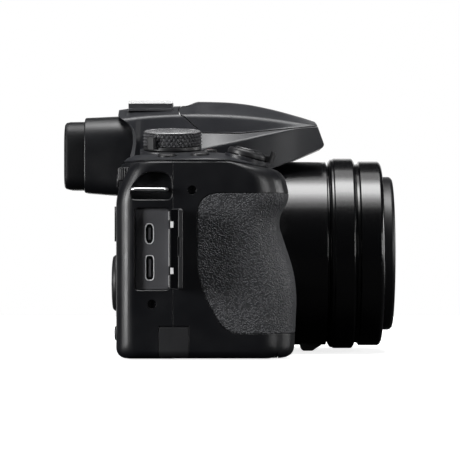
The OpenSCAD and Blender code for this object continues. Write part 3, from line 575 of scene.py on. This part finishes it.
def arch(grow, drop=0.0):
    """Mouth of the recess for a strap loop."""
    return [(p.x, p.y - drop) for p in outline([
        (-35.2 - grow, 56.4 - grow, 2.4), (-20.5 + grow, 56.4 - grow, 2.2), (-20.7 + grow, 66 + grow, 4.2),
        (-30.5 - grow / 2, 66.2 + grow, 4), (-35.3 - grow, 60.8, 2.5)], 8)]


def left_arch(grow):
    return arch(grow, 1.5)


def hinge_notches(axis_x, axis_y, spans, out):
    """Notches for the arms of a door that turns about an upright axis at a side face."""
    near, far = sorted((axis_y + out * 2.8, axis_y - out * 1.2))
    return [block("notch", (axis_x - 1.7, near, z0 - DOOR_GAP), (axis_x + 1.05, far, z1 + DOOR_GAP))
            for z0, z1 in spans]


def grip_outline(grow):
    return outline([(-11.4 - grow, 58.6 + grow, 8), (40, 58.6 + grow, 0.2), (40, 9 - grow, 0.2),
                    (-1.5 - grow, 9 - grow, 6), (-11.4 - grow, 27, 11)], 10)


# Rear cover, front cover and grip cover

rear = body_form("rear_shell")
cut(rear, block("zone", (COVER_SEAM - COVER_GAP, FAR_RIGHT, BELOW), (AHEAD, FAR_LEFT, ABOVE)), *top_zones())
cut(rear,
    prism("pocket", rounded_box((-20, 5.5), (48.5, 57), 2), "x", -43, -39.5),
    disc("well", 10.7, -3.2, 8, rear_place(PAD)),
    *[disc("well", 2.9, -3.2, 8, rear_place(at), 48) for at in REAR_BUTTONS.values()],
    disc("well", 7.6, 62.9, 68.3, Matrix.Translation((*REAR_DIAL_AT, 0))),
    chamfered(port_mouth, 0.3, -GRIP_SIDE, 3.6, -1),
    *hinge_notches(*PORT_AXIS, PORT_HINGES, -1),
    flap_space())
cut(rear,
    chamfered(arch, 0.35, -GRIP_SIDE, 5.2, -1),
    chamfered(left_arch, 0.35, LEFT_SIDE, 5.2, 1),
    prism("remote", rounded_box((-33.4, 28), (-23.3, 44), 1.2), "y", 50.4, 57),
    *hinge_notches(*REMOTE_AXIS, REMOTE_HINGES, 1),
    *screw_wells(REAR_SCREWS),
    *deck_wells())
cut(rear, *seam_grooves())
piece(rear, "body", "body_plastic", "rear_cover")

front = body_form("front_shell")
cut(front, block("zone", (BEHIND, FAR_RIGHT, BELOW), (COVER_SEAM + COVER_GAP, FAR_LEFT, ABOVE)), *top_zones())
trench = prism("trench", grip_outline(0.22), "y", FAR_RIGHT, GRIP_END)
cut(trench, body_form("inner", GRIP_SKIN))
cut(front, trench)
cut(front,
    block("door", (-19.9, -68.3, -2), (17.1, -45.85, 2.4)),
    *[disc("knuckle", 1.75, x - 0.3, x + 4.3, BATTERY_HINGE, 32) for x in (-16, 9)],
    disc("bush", 5.05, -1, 7),
    *hinge_notches(*PORT_AXIS, PORT_HINGES, -1),
    flap_space())
cut(front,
    *screw_wells(FRONT_SCREWS),
    disc("lamp", 3.05, 6, 12, Matrix.Translation((0, 44, 56)) @ FORWARD, 48),
    *deck_wells())
cut(front, *seam_grooves())
piece(front, "body", "body_plastic", "front_cover")

grip = body_form("grip_skin")
cut(grip,
    block("zone", (COVER_SEAM, FAR_RIGHT, BELOW), (AHEAD, -39, ABOVE)),
    prism("zone", grip_outline(0), "y", FAR_RIGHT, GRIP_END), how="INTERSECT")
cut(grip, body_form("inner", GRIP_SKIN))
piece(grip, "body", "leatherette", "grip_cover")

# Top cover: the deck, and the finder hump with its beak


def smooth_through(xs, ys):
    """Curve through points that never overshoots them."""
    n = len(xs)
    rise = [(ys[i + 1] - ys[i]) / (xs[i + 1] - xs[i]) for i in range(n - 1)]
    inner = [0.0 if a * b <= 0 else 2 * a * b / (a + b) for a, b in zip(rise, rise[1:])]
    slope = [rise[0]] + inner + [rise[-1]]

    def at(x):
        i = max(0, min(n - 2, sum(1 for v in xs[1:-1] if v <= x)))
        h = xs[i + 1] - xs[i]
        t = (x - xs[i]) / h
        return ((1 + 2 * t) * (1 - t) ** 2 * ys[i] + t * (1 - t) ** 2 * h * slope[i]
                + t * t * (3 - 2 * t) * ys[i + 1] + t * t * (t - 1) * h * slope[i + 1])

    return at


# Sections of the hump: x, ridge z, crease y and z, foot y and z, ledge y and z
HUMP = [
    (-42, 91.1, 17.0, 86.9, 18.7, 80, 19.0, 74),
    (-38, 91.7, 17.3, 87.3, 19.1, 80, 19.4, 74),
    (-35.5, 92, 17.2, 87.6, 19.0, 80.3, 19.3, 74),
    (-33.4, 92.1, 16.6, 87.8, 17.9, 80.6, 18.3, 74),
    (-30, 92.2, 16.1, 88.1, 17.2, 81, 18.0, 74),
    (-17, 92.6, 16.8, 88.7, 18.4, 81.9, 22.5, 74),
    (-11.8, 94.5, 17.0, 88.6, 18.7, 81.9, 24.0, 75),
    (-2.7, 94.3, 17.0, 88.4, 18.7, 81.7, 23.7, 77.2),
    (4.9, 93.6, 16.9, 88, 18.6, 81.8, 22.8, 79),
    (14.9, 91.6, 16.3, 87.1, 17.8, 82.8, 20.4, 81.4),
    (26, 88.3, 14.9, 85.8, 16.2, 84, 17.0, 83.6),
    (33, 85.6, 13.8, 84.9, 14.7, 84.4, 15.2, 84),
    (37, 84, 13.0, 83.6, 13.8, 83.2, 14.3, 82.8),
]
HUMP_CURVES = [smooth_through([s[0] for s in HUMP], [s[i] for s in HUMP]) for i in range(1, 8)]
RIDGE_ROUND = 7
HINGE_X, HINGE_Z = -16.8, 90.6
LID_AXIS = Matrix.Translation((HINGE_X, 0, HINGE_Z)) @ RIGHT_FACE
SHOE_BACK, SHOE_FRONT = -38.2, -21.7
SHOE_HALF = 10.5
SHOE_FLOOR = 90.4


def hump_section(x):
    ridge, crease_y, crease_z, foot_y, foot_z, ledge_y, ledge_z = [curve(x) for curve in HUMP_CURVES]
    half = [(ledge_y + 0.4, 62, 0.3), (ledge_y, ledge_z, 1), (foot_y, foot_z, 0.7),
            (crease_y, crease_z, min(1.5, crease_y / 4))]
    peak = [(0, ridge + RIDGE_ROUND / 6, RIDGE_ROUND)]
    corners = half + peak + [(-y, z, r) for y, z, r in reversed(half)]
    return [(x, p.x, p.y) for p in outline(corners, 6)]


def hump_form(name):
    stations = sorted({s[0] for s in HUMP} | {-42 + i for i in range(80)})
    form = loft(name, [hump_section(x) for x in stations])
    side = outline([
        (-42.5, 62, 0.1), (-42.5, 100, 0.1), (28, 100, 0.1), (32.4, 85.5, 1.2), (35.3, 77.5, 1.0),
        (34.7, 76.4, 0.8), (26.6, 72.9, 2), (16.8, 68.9, 2), (9, 66, 0.1), (9, 62, 0.1)], 5)
    return cut(form, prism("side", side, "y", -40, 40), how="INTERSECT")


# Rear lip of the hump in the middle: z, x
LIP = [
    (70.05, -38.1), (72.4, -37.5), (75.6, -36.7), (78.2, -36.3), (80.3, -36.3),
    (82.3, -36.6), (84.4, -37.6), (86.2, -39.2), (87.8, -41.4), (88.4, -42),
]
LIP_LOW, LIP_HIGH = LIP[0][0], LIP[-1][0]
LIP_STEPS = 40
LIP_FLARE = 2.2
lip_at = smooth_through([z for z, _ in LIP], [x for _, x in LIP])


def finder_zone(flare):
    """Space behind the curved rear lip of the hump, whose edge slopes forward toward the flanks."""
    heights = [mix(LIP_LOW, LIP_HIGH, i / LIP_STEPS) for i in range(LIP_STEPS + 1)]
    rings = []
    for y, shift in ((-20.5, flare), (-17, 0), (17, 0), (20.5, flare)):
        ring = [(lip_at(z) + shift, y, z) for z in heights]
        rings.append(ring + [(BEHIND, y, LIP_HIGH), (BEHIND, y, LIP_LOW)])
    zone = loft("finder", rings)
    return cut(zone, block("rear", (-59, -20.4, 50), (REAR, 20.4, 71)), how="UNION")


def lid_zone(lift):
    """Space of the flash lid, whose lower faces are raised by lift."""
    heel_x = HINGE_X - 1.4 + lift
    zone = prism("lid", [
        (heel_x, 100), (heel_x, HINGE_Z - 1.4 + lift), (-11.6, 83 + lift), (-10.2, 81.9 + lift),
        (3.7, 81.7 + lift), (26, 84 + lift), (31.8, 84.6 + lift), (40, 85.2 + lift), (40, 100)], "y", -41, 41)
    heel = disc("heel", 2.4 - 1.2 * lift, -41.5, 41.5, LID_AXIS)
    return cut(zone, heel, how="UNION")


def whole_top_zone():
    right, left = top_zones()
    return cut(right, left, how="UNION")


def lens_space():
    return disc("lens", 35.2, 9, 69, LENS, 128)


top = body_form("top_shell")
cut(top, whole_top_zone(), how="INTERSECT")
boss = disc("boss", 11.9, -6.9, -1.9, DIAL)
cut(boss, whole_top_zone(), how="INTERSECT")
cut(top, boss, disc("boss", 7.9, -1, 0.4, SHUTTER), how="UNION")
cut(top,
    finder_zone(LIP_FLARE),
    disc("dial", 11.6, -1.9, 6, DIAL),
    disc("stem", 3.05, -5.8, 2, DIAL),
    disc("lever", 8, 0.4, 6.4, SHUTTER),
    *deck_wells(),
    disc("movie", 3, 71.2, 79, Matrix.Translation((*MOVIE_AT, 0))),
    disc("flash", 2.9, 67, 75, Matrix.Translation((*FLASH_BUTTON_AT, 0))),
    lens_space())
cut(top, *seam_grooves())
piece(top, "body", "deck_plastic", "top_cover")

hump = hump_form("hump_shell")
bay = block("bay", (5.5, -13.4, 75.6), (40, 13.4, 95))
cut(bay, disc("swing", 47.9, -13.5, 13.5, LID_AXIS, 128), how="INTERSECT")
cut(hump, whole_top_zone(), how="INTERSECT")
cut(hump,
    finder_zone(LIP_FLARE),
    lid_zone(-0.3),
    bay,
    lens_space(),
    block("shoe", (SHOE_BACK - 0.4, -SHOE_HALF - 0.4, SHOE_FLOOR), (SHOE_FRONT + 0.3, SHOE_HALF + 0.4, 100)))
piece(hump, "body", "deck_plastic")

lid = hump_form("flash_lid")
cut(lid, lid_zone(0), how="INTERSECT")
unit = prism("unit", [(8, 84), (8, 79.6), (18, 77), (27.2, 83), (27.2, 84.5)], "y", -12.6, 12.6)
cut(lid, unit, how="UNION")
WINDOW = Matrix.Translation((18.6, 0, 77.4)) @ turned(-33.1, "Y")
cut(lid,
    moved(block("pocket", (0.7, -11, -3), (9.3, 11, 1.4)), WINDOW),
    *[disc("ear", 2.7, y, y + 2.4, LID_AXIS, 48) for y in (-5.2, 2.8)])
piece(lid, "flash_head", "deck_plastic", "flash_head")

# Lens

BORE = 32.2
BARREL_BACK, RING_BACK, COLLAR_BACK, COLLAR_END = 9, 36.2, 46.8, 57
GLASS_R, GLASS_BACK = 26, 47.05
GLASS_CURVE, GLASS_CENTRE = 60, -5


def turning(name, profile, body, slot, *stands_for, r=0.3, n=192):
    """Turned piece on the lens axis from points (radius, distance forward)."""
    return piece(lathe(name, softened(profile, r), LENS, n), body, slot, *stands_for, angle=40)


barrel = lathe("barrel_fixed", softened([
    (BORE, BARREL_BACK), (34.7, BARREL_BACK), (34.7, RING_BACK), (BORE, RING_BACK)], 0.4), LENS, 192)
foot = prism("foot", outline([
    (26, 6, 0.2), (26.8, 0.6, 0.6), (27.6, 0, 0.5), (31.2, 0, 0.6), (32.2, 0.8, 0.6), (34.5, 2.2, 0.3),
    (34.5, 6, 0.2)], 4), "y", -7, 7)
cut(foot, disc("clear", 34.3, 20, 40, LENS, 192))
piece(barrel, "body", "lens_gloss", "fixed_barrel", angle=40)
piece(foot, "body", "lens_satin")
turning("ring_front", [
    (BORE, RING_BACK), (33.6, RING_BACK), (33.6, 36.9), (34.4, 36.9), (35.6, 37.8), (35.65, 38.6), (36, 39),
    (36, 45.9), (34.9, COLLAR_BACK), (BORE, COLLAR_BACK)], "body", "lens_gloss", "lens_ring", r=0.35)
turning("collar_front", [
    (BORE, COLLAR_BACK), (33.7, COLLAR_BACK), (34.1, 48.3), (34.9, 48.5), (34.9, 55.8), (34.4, 56.5),
    (33.5, COLLAR_END), (BORE, COLLAR_END)], "body", "lens_gloss", "lens_collar", r=0.35)
turning("barrel_middle", [
    (29.4, 13), (31.9, 13), (31.9, 55.7), (31.4, 56.2), (29.4, 56.2)], "middle_barrel", "lens_satin",
    "middle_barrel")
turning("barrel_front", [
    (26.4, 15), (29, 15), (29, 60.3), (28.1, 61.2), (27.8, 61.2), (27.5, 60.9), (27.5, 56.6), (27.2, 56.6),
    (26.1, 52), (26.1, 47), (24.4, 47), (24.4, 45.6), (26.4, 45.6)], "front_barrel", "lens_satin",
    "front_barrel", r=0.8)
cap = [(GLASS_CURVE * math.sin(a), GLASS_CENTRE + GLASS_CURVE * math.cos(a))
       for a in [math.radians(degrees) for degrees in range(0, 26)]]
turning("lens_front", [(0, GLASS_BACK), (GLASS_R, GLASS_BACK)] + [p for p in reversed(cap) if p[0] < GLASS_R],
        "front_barrel", "glass", "front_lens", r=0.1)

# Finder


def finder_ring(x, half, low, high, r, crown):
    """Section of the finder at x: corners rounded by r below and by crown above."""
    corners = [(half, low, r), (half, high, crown), (-half, high, crown), (-half, low, r)]
    return [(x, p.x, p.y) for p in outline(corners, 12)]


housing = loft("finder_shell", [
    finder_ring(-54.6, 15.8, 59.9, 87.6, 5.5, 11.5),
    finder_ring(-54.45, 16.1, 59.65, 87.85, 5.8, 11.8),
    finder_ring(-54.1, 16.3, 59.5, 88, 6, 12),
    finder_ring(-40.5, 17, 58.4, 88.6, 6.5, 12.5),
    finder_ring(-35, 17, 58.4, 88.6, 6.5, 12.5)])
lip = block("lip", (-42, -30, 69.9), (-30, 30, 100))
cut(lip, finder_zone(0))
cut(housing,
    lip,
    block("face", (REAR, -29, 50), (-29, 29, LIP_LOW)),
    block("inside", (-56, -10.5, 65), (-45, 10.5, 83)),
    disc("dioptre", 4.6, 13.6, 24, Matrix.Translation((DIOPTRE_X, 0, DIOPTRE_Z)) @ RIGHT_FACE, 48))
piece(housing, "body", "finder_plastic", "finder_housing")

cup = loft("eyecup_shell", [
    finder_ring(-62.2, 13.6, 62.4, 84.6, 4.5, 8),
    finder_ring(-62.05, 14.6, 61.6, 85.4, 4.8, 8.5),
    finder_ring(-61.5, 15.3, 61, 86, 5, 9),
    finder_ring(-60.2, 15.7, 60.7, 86.3, 5.2, 9.2),
    finder_ring(-54.6, 15.4, 60.6, 86.4, 5.2, 9.2)])
cut(cup, loft("hollow", [
    finder_ring(-63.2, 13, 64.2, 82.8, 4, 7),
    finder_ring(-57.6, 10.8, 66, 81.4, 3, 3),
    finder_ring(-54, 10.5, 66.2, 81.2, 3, 3)]))
piece(cup, "body", "eyecup_rubber", "eyecup")

# Controls


def knurled(name, r, height, columns, rows, depth, place, inner):
    """Band of diamond knurling about the local Z axis of a place."""
    around, up = columns * 8, 40
    rings = []
    for j in range(up + 1):
        v = rows * j / up
        ring = []
        for i, a in enumerate(turns(around)):
            u = columns * i / around
            tooth = min(1 - abs(2 * ((u + v) % 1) - 1), 1 - abs(2 * ((u - v) % 1) - 1))
            ring.append(place @ polar(r - depth * (1 - tooth), a, height * j / up))
        rings.append(ring)
    rings += [[place @ polar(inner, a, h) for a in turns(around)] for h in (height, 0)]
    return solid(name, rings, bands(len(rings), around))


def ribbed(name, r, low, high, ribs, depth, place, chamfer=0.4):
    """Wheel with round ribs around its rim and softened edges."""
    rings = []
    for inset, h in ((chamfer, low), (0, low + chamfer), (0, high - chamfer), (chamfer, high)):
        ring = []
        for a in turns(ribs * 10):
            groove = depth * (0.5 - 0.5 * math.cos(ribs * a)) ** 2
            ring.append(place @ polar(r - inset - groove, a, h))
        rings.append(ring)
    return loft(name, rings)


def arc_mark(name, r0, r1, centre, width, height, place):
    """Thin mark printed round part of a dial."""
    angles = [math.radians(centre + width * (i / 8 - 0.5)) for i in range(9)]
    points = [polar(r0, a, 0) for a in angles] + [polar(r1, a, 0) for a in reversed(angles)]
    return moved(prism(name, points, "z", height - 0.2, height + 0.04), place)


def cap_button(name, r, top, bottom, at):
    """Button with a rounded rim and a slightly hollow top."""
    profile = softened([(0, bottom), (r, bottom), (r, top - 0.5), (r - 0.25, top - 0.12), (r - 0.8, top),
                        (0, top - 0.1)], 0.3)
    piece(lathe(name + "_cap", profile, at, 64), name, "control_black", name)


DIAL_R = 10.8
DIAL_MARKS, MARK_START, MARK_STEP = 11, -60, 30
knurl = knurled("dial_knurl", DIAL_R, 4.7, 40, 2.0, 1.0, DIAL, DIAL_R - 1.2)
piece(knurl, "mode_dial", "knurl_black", "mode_dial", angle=20)
core = lathe("dial_core", softened([
    (0, 0.3), (9.9, 0.3), (9.9, 4.5), (10.3, 4.7), (10.3, 4.9), (9.9, 5.2), (0, 5.2)], 0.2), DIAL, 128)
piece(core, "mode_dial", "dial_top")
piece(disc("dial_stem", 3, -5.5, 0.5, DIAL), "mode_dial", "control_black")
for i in range(DIAL_MARKS):
    mark = arc_mark(f"dial_mark_{i}", 7.4, 9.4, MARK_START + MARK_STEP * i, 12, 5.16, DIAL)
    piece(mark, "mode_dial", "print_white")

lever = lathe("lever_ring", softened([(3.4, -1.6), (10.6, -1.6), (10.6, -0.3), (3.4, -0.3)], 0.2), DIAL, 96)
tab = moved(prism("lever_tab", rounded_box((10, -1.6), (12.5, 1.6), 0.5), "z", -0.9, 3.5),
            DIAL @ turned(231, "Z"))
cut(tab, disc("clear", 11.2, -0.3, 5, DIAL, 96))
piece(lever, "power_lever", "control_black", "power_lever")
piece(tab, "power_lever", "control_black")

collar = lathe("zoom_ring", softened([
    (5.5, 0.8), (7.2, 0.8), (7.2, 2.2), (6.7, 3), (5.9, 3), (5.5, 2.6)], 0.25), SHUTTER, 96)
piece(collar, "zoom_lever", "control_black", "zoom_lever")
nib = moved(prism("zoom_nib", rounded_box((6.6, -2.6), (9.8, 2.6), 1.4), "z", 0.8, 5), SHUTTER)
cut(nib, disc("clear", 8.4, 2.9, 9, SHUTTER))
piece(nib, "zoom_lever", "control_black")
release = lathe("shutter_cap", softened([
    (0, -2), (5, -2), (5, 3.2), (4.6, 3.7), (3.8, 3.9), (2, 3.75), (0, 3.7)], 0.4), SHUTTER, 96)
piece(release, "shutter_button", "button_satin", "shutter_button")

cap_button("deck_button_rear", 3.2, 0.9, -1.6, DECK_BUTTONS[0])
cap_button("deck_button_front", 3.2, 0.9, -1.6, DECK_BUTTONS[1])
MOVIE = Matrix.Translation((*MOVIE_AT, 74))
cap_button("movie_button", 2.7, 0.9, -1.8, MOVIE)
piece(disc("movie_dot", 1.0, 0.6, 0.95, MOVIE, 32), "movie_button", "print_red")
cap_button("flash_button", 2.6, 1.3, -1.8, Matrix.Translation((*FLASH_BUTTON_AT, 69.8)))
for name, at in REAR_BUTTONS.items():
    cap_button(name, 2.6, 1, -2.2, rear_place(at))
cap_button("set_button", 3.9, 1.8, -2.2, rear_place(PAD))
pad = lathe("pad_ring", softened([
    (4.3, -2.2), (10.3, -2.2), (10.3, 0.8), (9.5, 1.9), (7, 2.2), (5.2, 1.8), (4.3, 1.5)], 0.5),
    rear_place(PAD), 96)
piece(pad, "cursor_pad", "control_black", "cursor_pad")
for i, a in enumerate(turns(4)):
    mark_at = rear_place(PAD) @ Matrix.Translation(polar(7.6, a, 0))
    piece(disc(f"pad_mark_{i}", 0.5, 1.9, 2.2, mark_at, 24), "cursor_pad", "print_white")

wheel = ribbed("wheel_rear", 7.2, 0, 4.8, 36, 0.55, Matrix.Translation((*REAR_DIAL_AT, 63.2)))
piece(wheel, "rear_dial", "control_black", "rear_dial", angle=50)
sight = ribbed("wheel_dioptre", 4.2, 0, 4.6, 24, 0.45,
               Matrix.Translation((DIOPTRE_X, 13.9, DIOPTRE_Z)) @ RIGHT_FACE)
piece(sight, "dioptre_dial", "control_black", "dioptre_dial", angle=50)

# Shoe and strap loops

RAIL = softened([(6.4, 93.4), (9.4, 93.4), (9.4, 93.1), (10.5, 93.1), (10.5, 93.2), (9.5, 94.2), (6.4, 94.2)],
                0.12)
for name, side in (("shoe_rail_left", 1), ("shoe_rail_right", -1)):
    piece(prism(name, [(side * y, z) for y, z in RAIL], "x", SHOE_BACK, SHOE_FRONT), "body", "rail_satin")
shoe = block("shoe_base", (SHOE_BACK, -SHOE_HALF, SHOE_FLOOR), (SHOE_FRONT, SHOE_HALF, 91.2))
cut(shoe,
    block("stop", (-22.9, -9.6, 91.1), (SHOE_FRONT, 9.6, 93.6)),
    *[block("web", (SHOE_BACK, y, 91.1), (-21.75, y + 0.5, 93.15)) for y in (-9.9, 9.4)], how="UNION")
piece(shoe, "body", "shoe_dark", "hot_shoe")

LOOP = rounded_box((-34.9, 66.5), (-22.3, 74.1), 1.7)
LOOP_BAR = 0.6
piece(tube("loop_right", [(x, -y, 59.9) for x, y in LOOP], LOOP_BAR), "body", "shoe_metal",
      "strap_loop_right", angle=60)
piece(tube("loop_left", [(x, y - 16, 58.4) for x, y in LOOP], LOOP_BAR), "body", "shoe_metal",
      "strap_loop_left", angle=60)

# Sockets


def socket_wall(at, size, taper, grow):
    """Outline of a socket whose ends taper, larger by grow all round."""
    half_x, half_z = size[0] / 2 + grow, size[1] / 2 + grow
    corners = [(half_x, half_z - taper), (half_x - 0.55 * taper, half_z)]
    ring = corners + [(-x, z) for x, z in reversed(corners)]
    ring += [(-x, -z) for x, z in ring]
    return outline([(at[0] + x, at[1] + z, 0.5) for x, z in ring], 5)


def socket_shell(name, at, size, tongue, taper, node):
    """Metal shell of a socket with a rolled mouth, and its tongue."""
    rows = [(0, -62.8), (0, -68.6), (0.1, -68.85), (0.18, -68.9), (0.28, -68.85), (0.36, -68.6),
            (0.36, -62.4)]
    shell = loft(name, [[(p.x, y, p.y) for p in socket_wall(at, size, taper, grow)] for grow, y in rows])
    piece(shell, "body", "rim_bright", node, angle=50)
    low = (at[0] - tongue[0] / 2, -68.2, at[1] - tongue[1] / 2)
    high = (low[0] + tongue[0], -62.9, low[2] + tongue[1])
    piece(block(name + "_tongue", low, high), "body", "port_grey")


socket_shell("hdmi_shell", (-28.5, 44.3), (2.6, 6.8), (0.8, 4.2), 1.3, "hdmi_socket")
socket_shell("usb_shell", (-28.4, 32.2), (2.6, 8.4), (0.8, 6.2), 0.9, "usb_socket")

# Port door, drawn shut and swung open

PORT_OPEN = 104
LEAF_BACK, LEAF_FRONT, LEAF_OUTSIDE, LEAF_INSIDE = -33.4, -22, -70.95, -69.3
LEAF_LOW, LEAF_HIGH = 24.7, 53.1
SWUNG = (Matrix.Translation((*PORT_AXIS, 0)) @ turned(PORT_OPEN, "Z")
         @ Matrix.Translation((-PORT_AXIS[0], -PORT_AXIS[1], 0)))


def finger_notch(low, high, front):
    return block("finger", (-34.7, -70.1, low), (front, -67, high))


leaf_levels = ((LEAF_OUTSIDE, 0.25), (-70.7, 0), (-69.5, 0), (LEAF_INSIDE, 0.2))
leaf = loft("port_leaf", [
    [(x, y, z) for x, z in rounded_box((LEAF_BACK + d, LEAF_LOW + d), (LEAF_FRONT - d, LEAF_HIGH - d), 1)]
    for y, d in leaf_levels])
cut(leaf, finger_notch(36.5, 43.1, -32.1))
piece(moved(leaf, SWUNG), "port_door", "door_rubber", "port_door")
# A thin near-black sheet on the inner face of the door: painted shade for the hollow inside of the door.
door_shade_sheet_edge = rounded_box((-33.0, 25.1), (-22.3, 52.7), 0.8)
door_shade_sheet = loft("port_door_shade_sheet", [[(x, y, z) for x, z in door_shade_sheet_edge] for y in (-69.5, -69.2)])
cut(door_shade_sheet, finger_notch(36.3, 43.3, -31.9))
piece(moved(door_shade_sheet, SWUNG), "port_door", "door_inside_shade")
# The hinge arms and straps are near-white: painted highlight on the hinge.
for z0, z1 in PORT_HINGES:
    pin = disc("pin", 0.8, z0 + 0.02, z1 - 0.02, Matrix.Translation((*PORT_AXIS, 0)), 32)
    arm = cut(block("arm", (-22.2, -70.65, z0), (PORT_AXIS[0], -69.75, z1)), pin, how="UNION")
    arm.name = f"port_arm_{int(z0)}"
    piece(moved(arm, SWUNG), "port_door", "painted_highlight_white")
    strap = block(f"port_strap_{int(z0)}", (-26.4, LEAF_INSIDE, z0), (-22.2, -69.0, z1))
    piece(moved(strap, SWUNG), "port_door", "painted_highlight_white")
# Thin near-white strips on the recess wall beside the hinge: painted highlight along the edge of the port
# recess.
for z0, z1 in ((25.6, 29.6), (32.8, 45.9), (49.1, 52.2)):
    piece(block(f"port_edge_highlight_{int(z0)}", (-21.65, -71.0, z0), (-21.4, -68.8, z1)), "body", "painted_highlight_white")

# Flap over the coupler's cable hole

FLAP_BAR = 0.75
flap = body_form("flap_shell", 0.05)
plate = block("plate", (FLAP_BACK, OUTSIDE_GRIP, BELOW), (FLAP_FRONT, -69.45, FLAP_TOP - FLAP_BAR))
bar = disc("bar", FLAP_BAR, FLAP_BACK + 0.001, FLAP_FRONT - 0.001,
           Matrix.Translation((0, -70.2, FLAP_TOP - FLAP_BAR)) @ FORWARD, 48)
cut(flap, cut(plate, bar, how="UNION"), how="INTERSECT")
piece(flap, "coupler_flap", "door_rubber", "coupler_flap")

# Studio, in metres

# Lights above: name, y, height, width, depth, power. They overlap, so that reflections fade outward.
CEILING = (
    ("softbox_core", -0.055, 0.74, 0.5, 0.21, 1.2),
    ("softbox_inner", -0.075, 0.76, 0.55, 0.33, 1.8),
    ("softbox_outer", -0.09, 0.78, 0.6, 0.50, 2.0),
    ("softbox_wide", -0.02, 0.80, 0.8, 0.9, 3.0),
)
FLOOR_Z = -0.0004
FLOOR = [(-0.8, -0.75), (0.8, -0.75), (0.8, 0.4), (-0.8, 0.4)]


def panel(name, at, aim, size, energy):
    """Soft box at a place, turned to a point, with its size and power."""
    light = bpy.data.lights.new(name, "AREA")
    light.shape = "RECTANGLE"
    light.size, light.size_y = size
    light.energy = energy
    obj = bpy.data.objects.new(name, light)
    obj.location = at
    obj.rotation_euler = (Vector(aim) - Vector(at)).to_track_quat("-Z", "Y").to_euler()
    scene.collection.objects.link(obj)


def background_share(tree, coordinate, start, full):
    """1 for camera rays, and for glossy and transmission rays toward what lies behind the object."""
    seen = put(tree, "ShaderNodeLightPath")
    apart = put(tree, "ShaderNodeSeparateXYZ")
    tree.links.new(put(tree, "ShaderNodeTexCoord").outputs[coordinate], apart.inputs["Vector"])
    behind = put(tree, "ShaderNodeMapRange", interpolation_type="SMOOTHSTEP", From_Min=start, From_Max=full)
    tree.links.new(apart.outputs["Y"], behind.inputs["Value"])
    mirrored = put(tree, "ShaderNodeMath", operation="MAXIMUM")
    tree.links.new(seen.outputs["Is Glossy Ray"], mirrored.inputs[0])
    tree.links.new(seen.outputs["Is Transmission Ray"], mirrored.inputs[1])
    share = put(tree, "ShaderNodeMath", operation="MULTIPLY_ADD", use_clamp=True)
    tree.links.new(mirrored.outputs["Value"], share.inputs[0])
    tree.links.new(behind.outputs["Result"], share.inputs[1])
    tree.links.new(seen.outputs["Is Camera Ray"], share.inputs[2])
    return share.outputs["Value"]


def blend(tree, share, first, second, output):
    """The first shader where the share is 0 and the second where it is 1."""
    both = put(tree, "ShaderNodeMixShader")
    tree.links.new(share, both.inputs["Fac"])
    tree.links.new(first, both.inputs[1])
    tree.links.new(second, both.inputs[2])
    tree.links.new(both.outputs["Shader"], tree.nodes[output].inputs["Surface"])


def light_world():
    """White background, and a faint cool light from all round."""
    world = bpy.data.worlds.new("studio")
    world.use_nodes = True
    scene.world = world
    tree = world.node_tree
    faint = tree.nodes["Background"]
    faint.inputs["Color"].default_value = (0.9, 0.95, 1.0, 1)
    faint.inputs["Strength"].default_value = 0.02
    white = put(tree, "ShaderNodeBackground", Strength=1.0)
    white.inputs["Color"].default_value = (1, 1, 1, 1)
    share = background_share(tree, "Generated", 0.88, 0.98)
    blend(tree, share, faint.outputs["Background"], white.outputs["Background"], "World Output")


def paper_material():
    """White paper that keeps the shadow, for the camera and where the background is mirrored, else dull."""
    paper, tree, shader = new_material("paper")
    shader.inputs["Base Color"].default_value = (0.85, 0.85, 0.85, 1)
    shader.inputs["Roughness"].default_value = 0.9
    shader.inputs["Specular IOR Level"].default_value = 0.0
    glow = put(tree, "ShaderNodeEmission", Strength=0.8)
    bright = put(tree, "ShaderNodeAddShader")
    tree.links.new(shader.outputs["BSDF"], bright.inputs[0])
    tree.links.new(glow.outputs["Emission"], bright.inputs[1])
    dull = put(tree, "ShaderNodeBsdfDiffuse")
    dull.inputs["Color"].default_value = (0.02, 0.02, 0.02, 1)
    share = background_share(tree, "Object", 0.15, 0.3)
    blend(tree, share, dull.outputs["BSDF"], bright.outputs["Shader"], "Material Output")
    return paper


def lay_floor():
    """Level sheet just under the object."""
    mesh = bpy.data.meshes.new("floor")
    mesh.from_pydata([(x, y, FLOOR_Z) for x, y in FLOOR], [], [(0, 1, 2, 3)])
    mesh.materials.append(paper_material())
    floor = bpy.data.objects.new("floor", mesh)
    scene.collection.objects.link(floor)


def set_camera():
    """Camera at the photo's angle: level with the middle of the body, square to the grip side."""
    data = bpy.data.cameras.new("camera")
    data.sensor_width = 36
    data.lens = 205.95
    data.dof.use_dof = False
    data.clip_end = 20
    camera = bpy.data.objects.new("camera", data)
    camera.location = (0, -1.0, 0.0456)
    camera.rotation_euler = (math.radians(90), 0, 0)
    scene.collection.objects.link(camera)
    scene.camera = camera


for name, y, height, width, depth, power in CEILING:
    panel(name, (0.0, y, height), (0.0, y, 0.05), (width, depth), power)
panel("softbox_rear", (-0.68, -0.43, 0.13), (-0.04, -0.06, 0.04), (0.2, 0.36), 6.0)
panel("softbox_nose", (0.75, 0.16, 0.13), (0.05, -0.02, 0.04), (0.18, 0.3), 1.8)
panel("softbox_stripe", (0.72, -0.6, 0.12), (0.01, -0.05, 0.04), (0.1, 0.5), 3.2)
light_world()
lay_floor()
set_camera()
scene.view_settings.view_transform = "Standard"
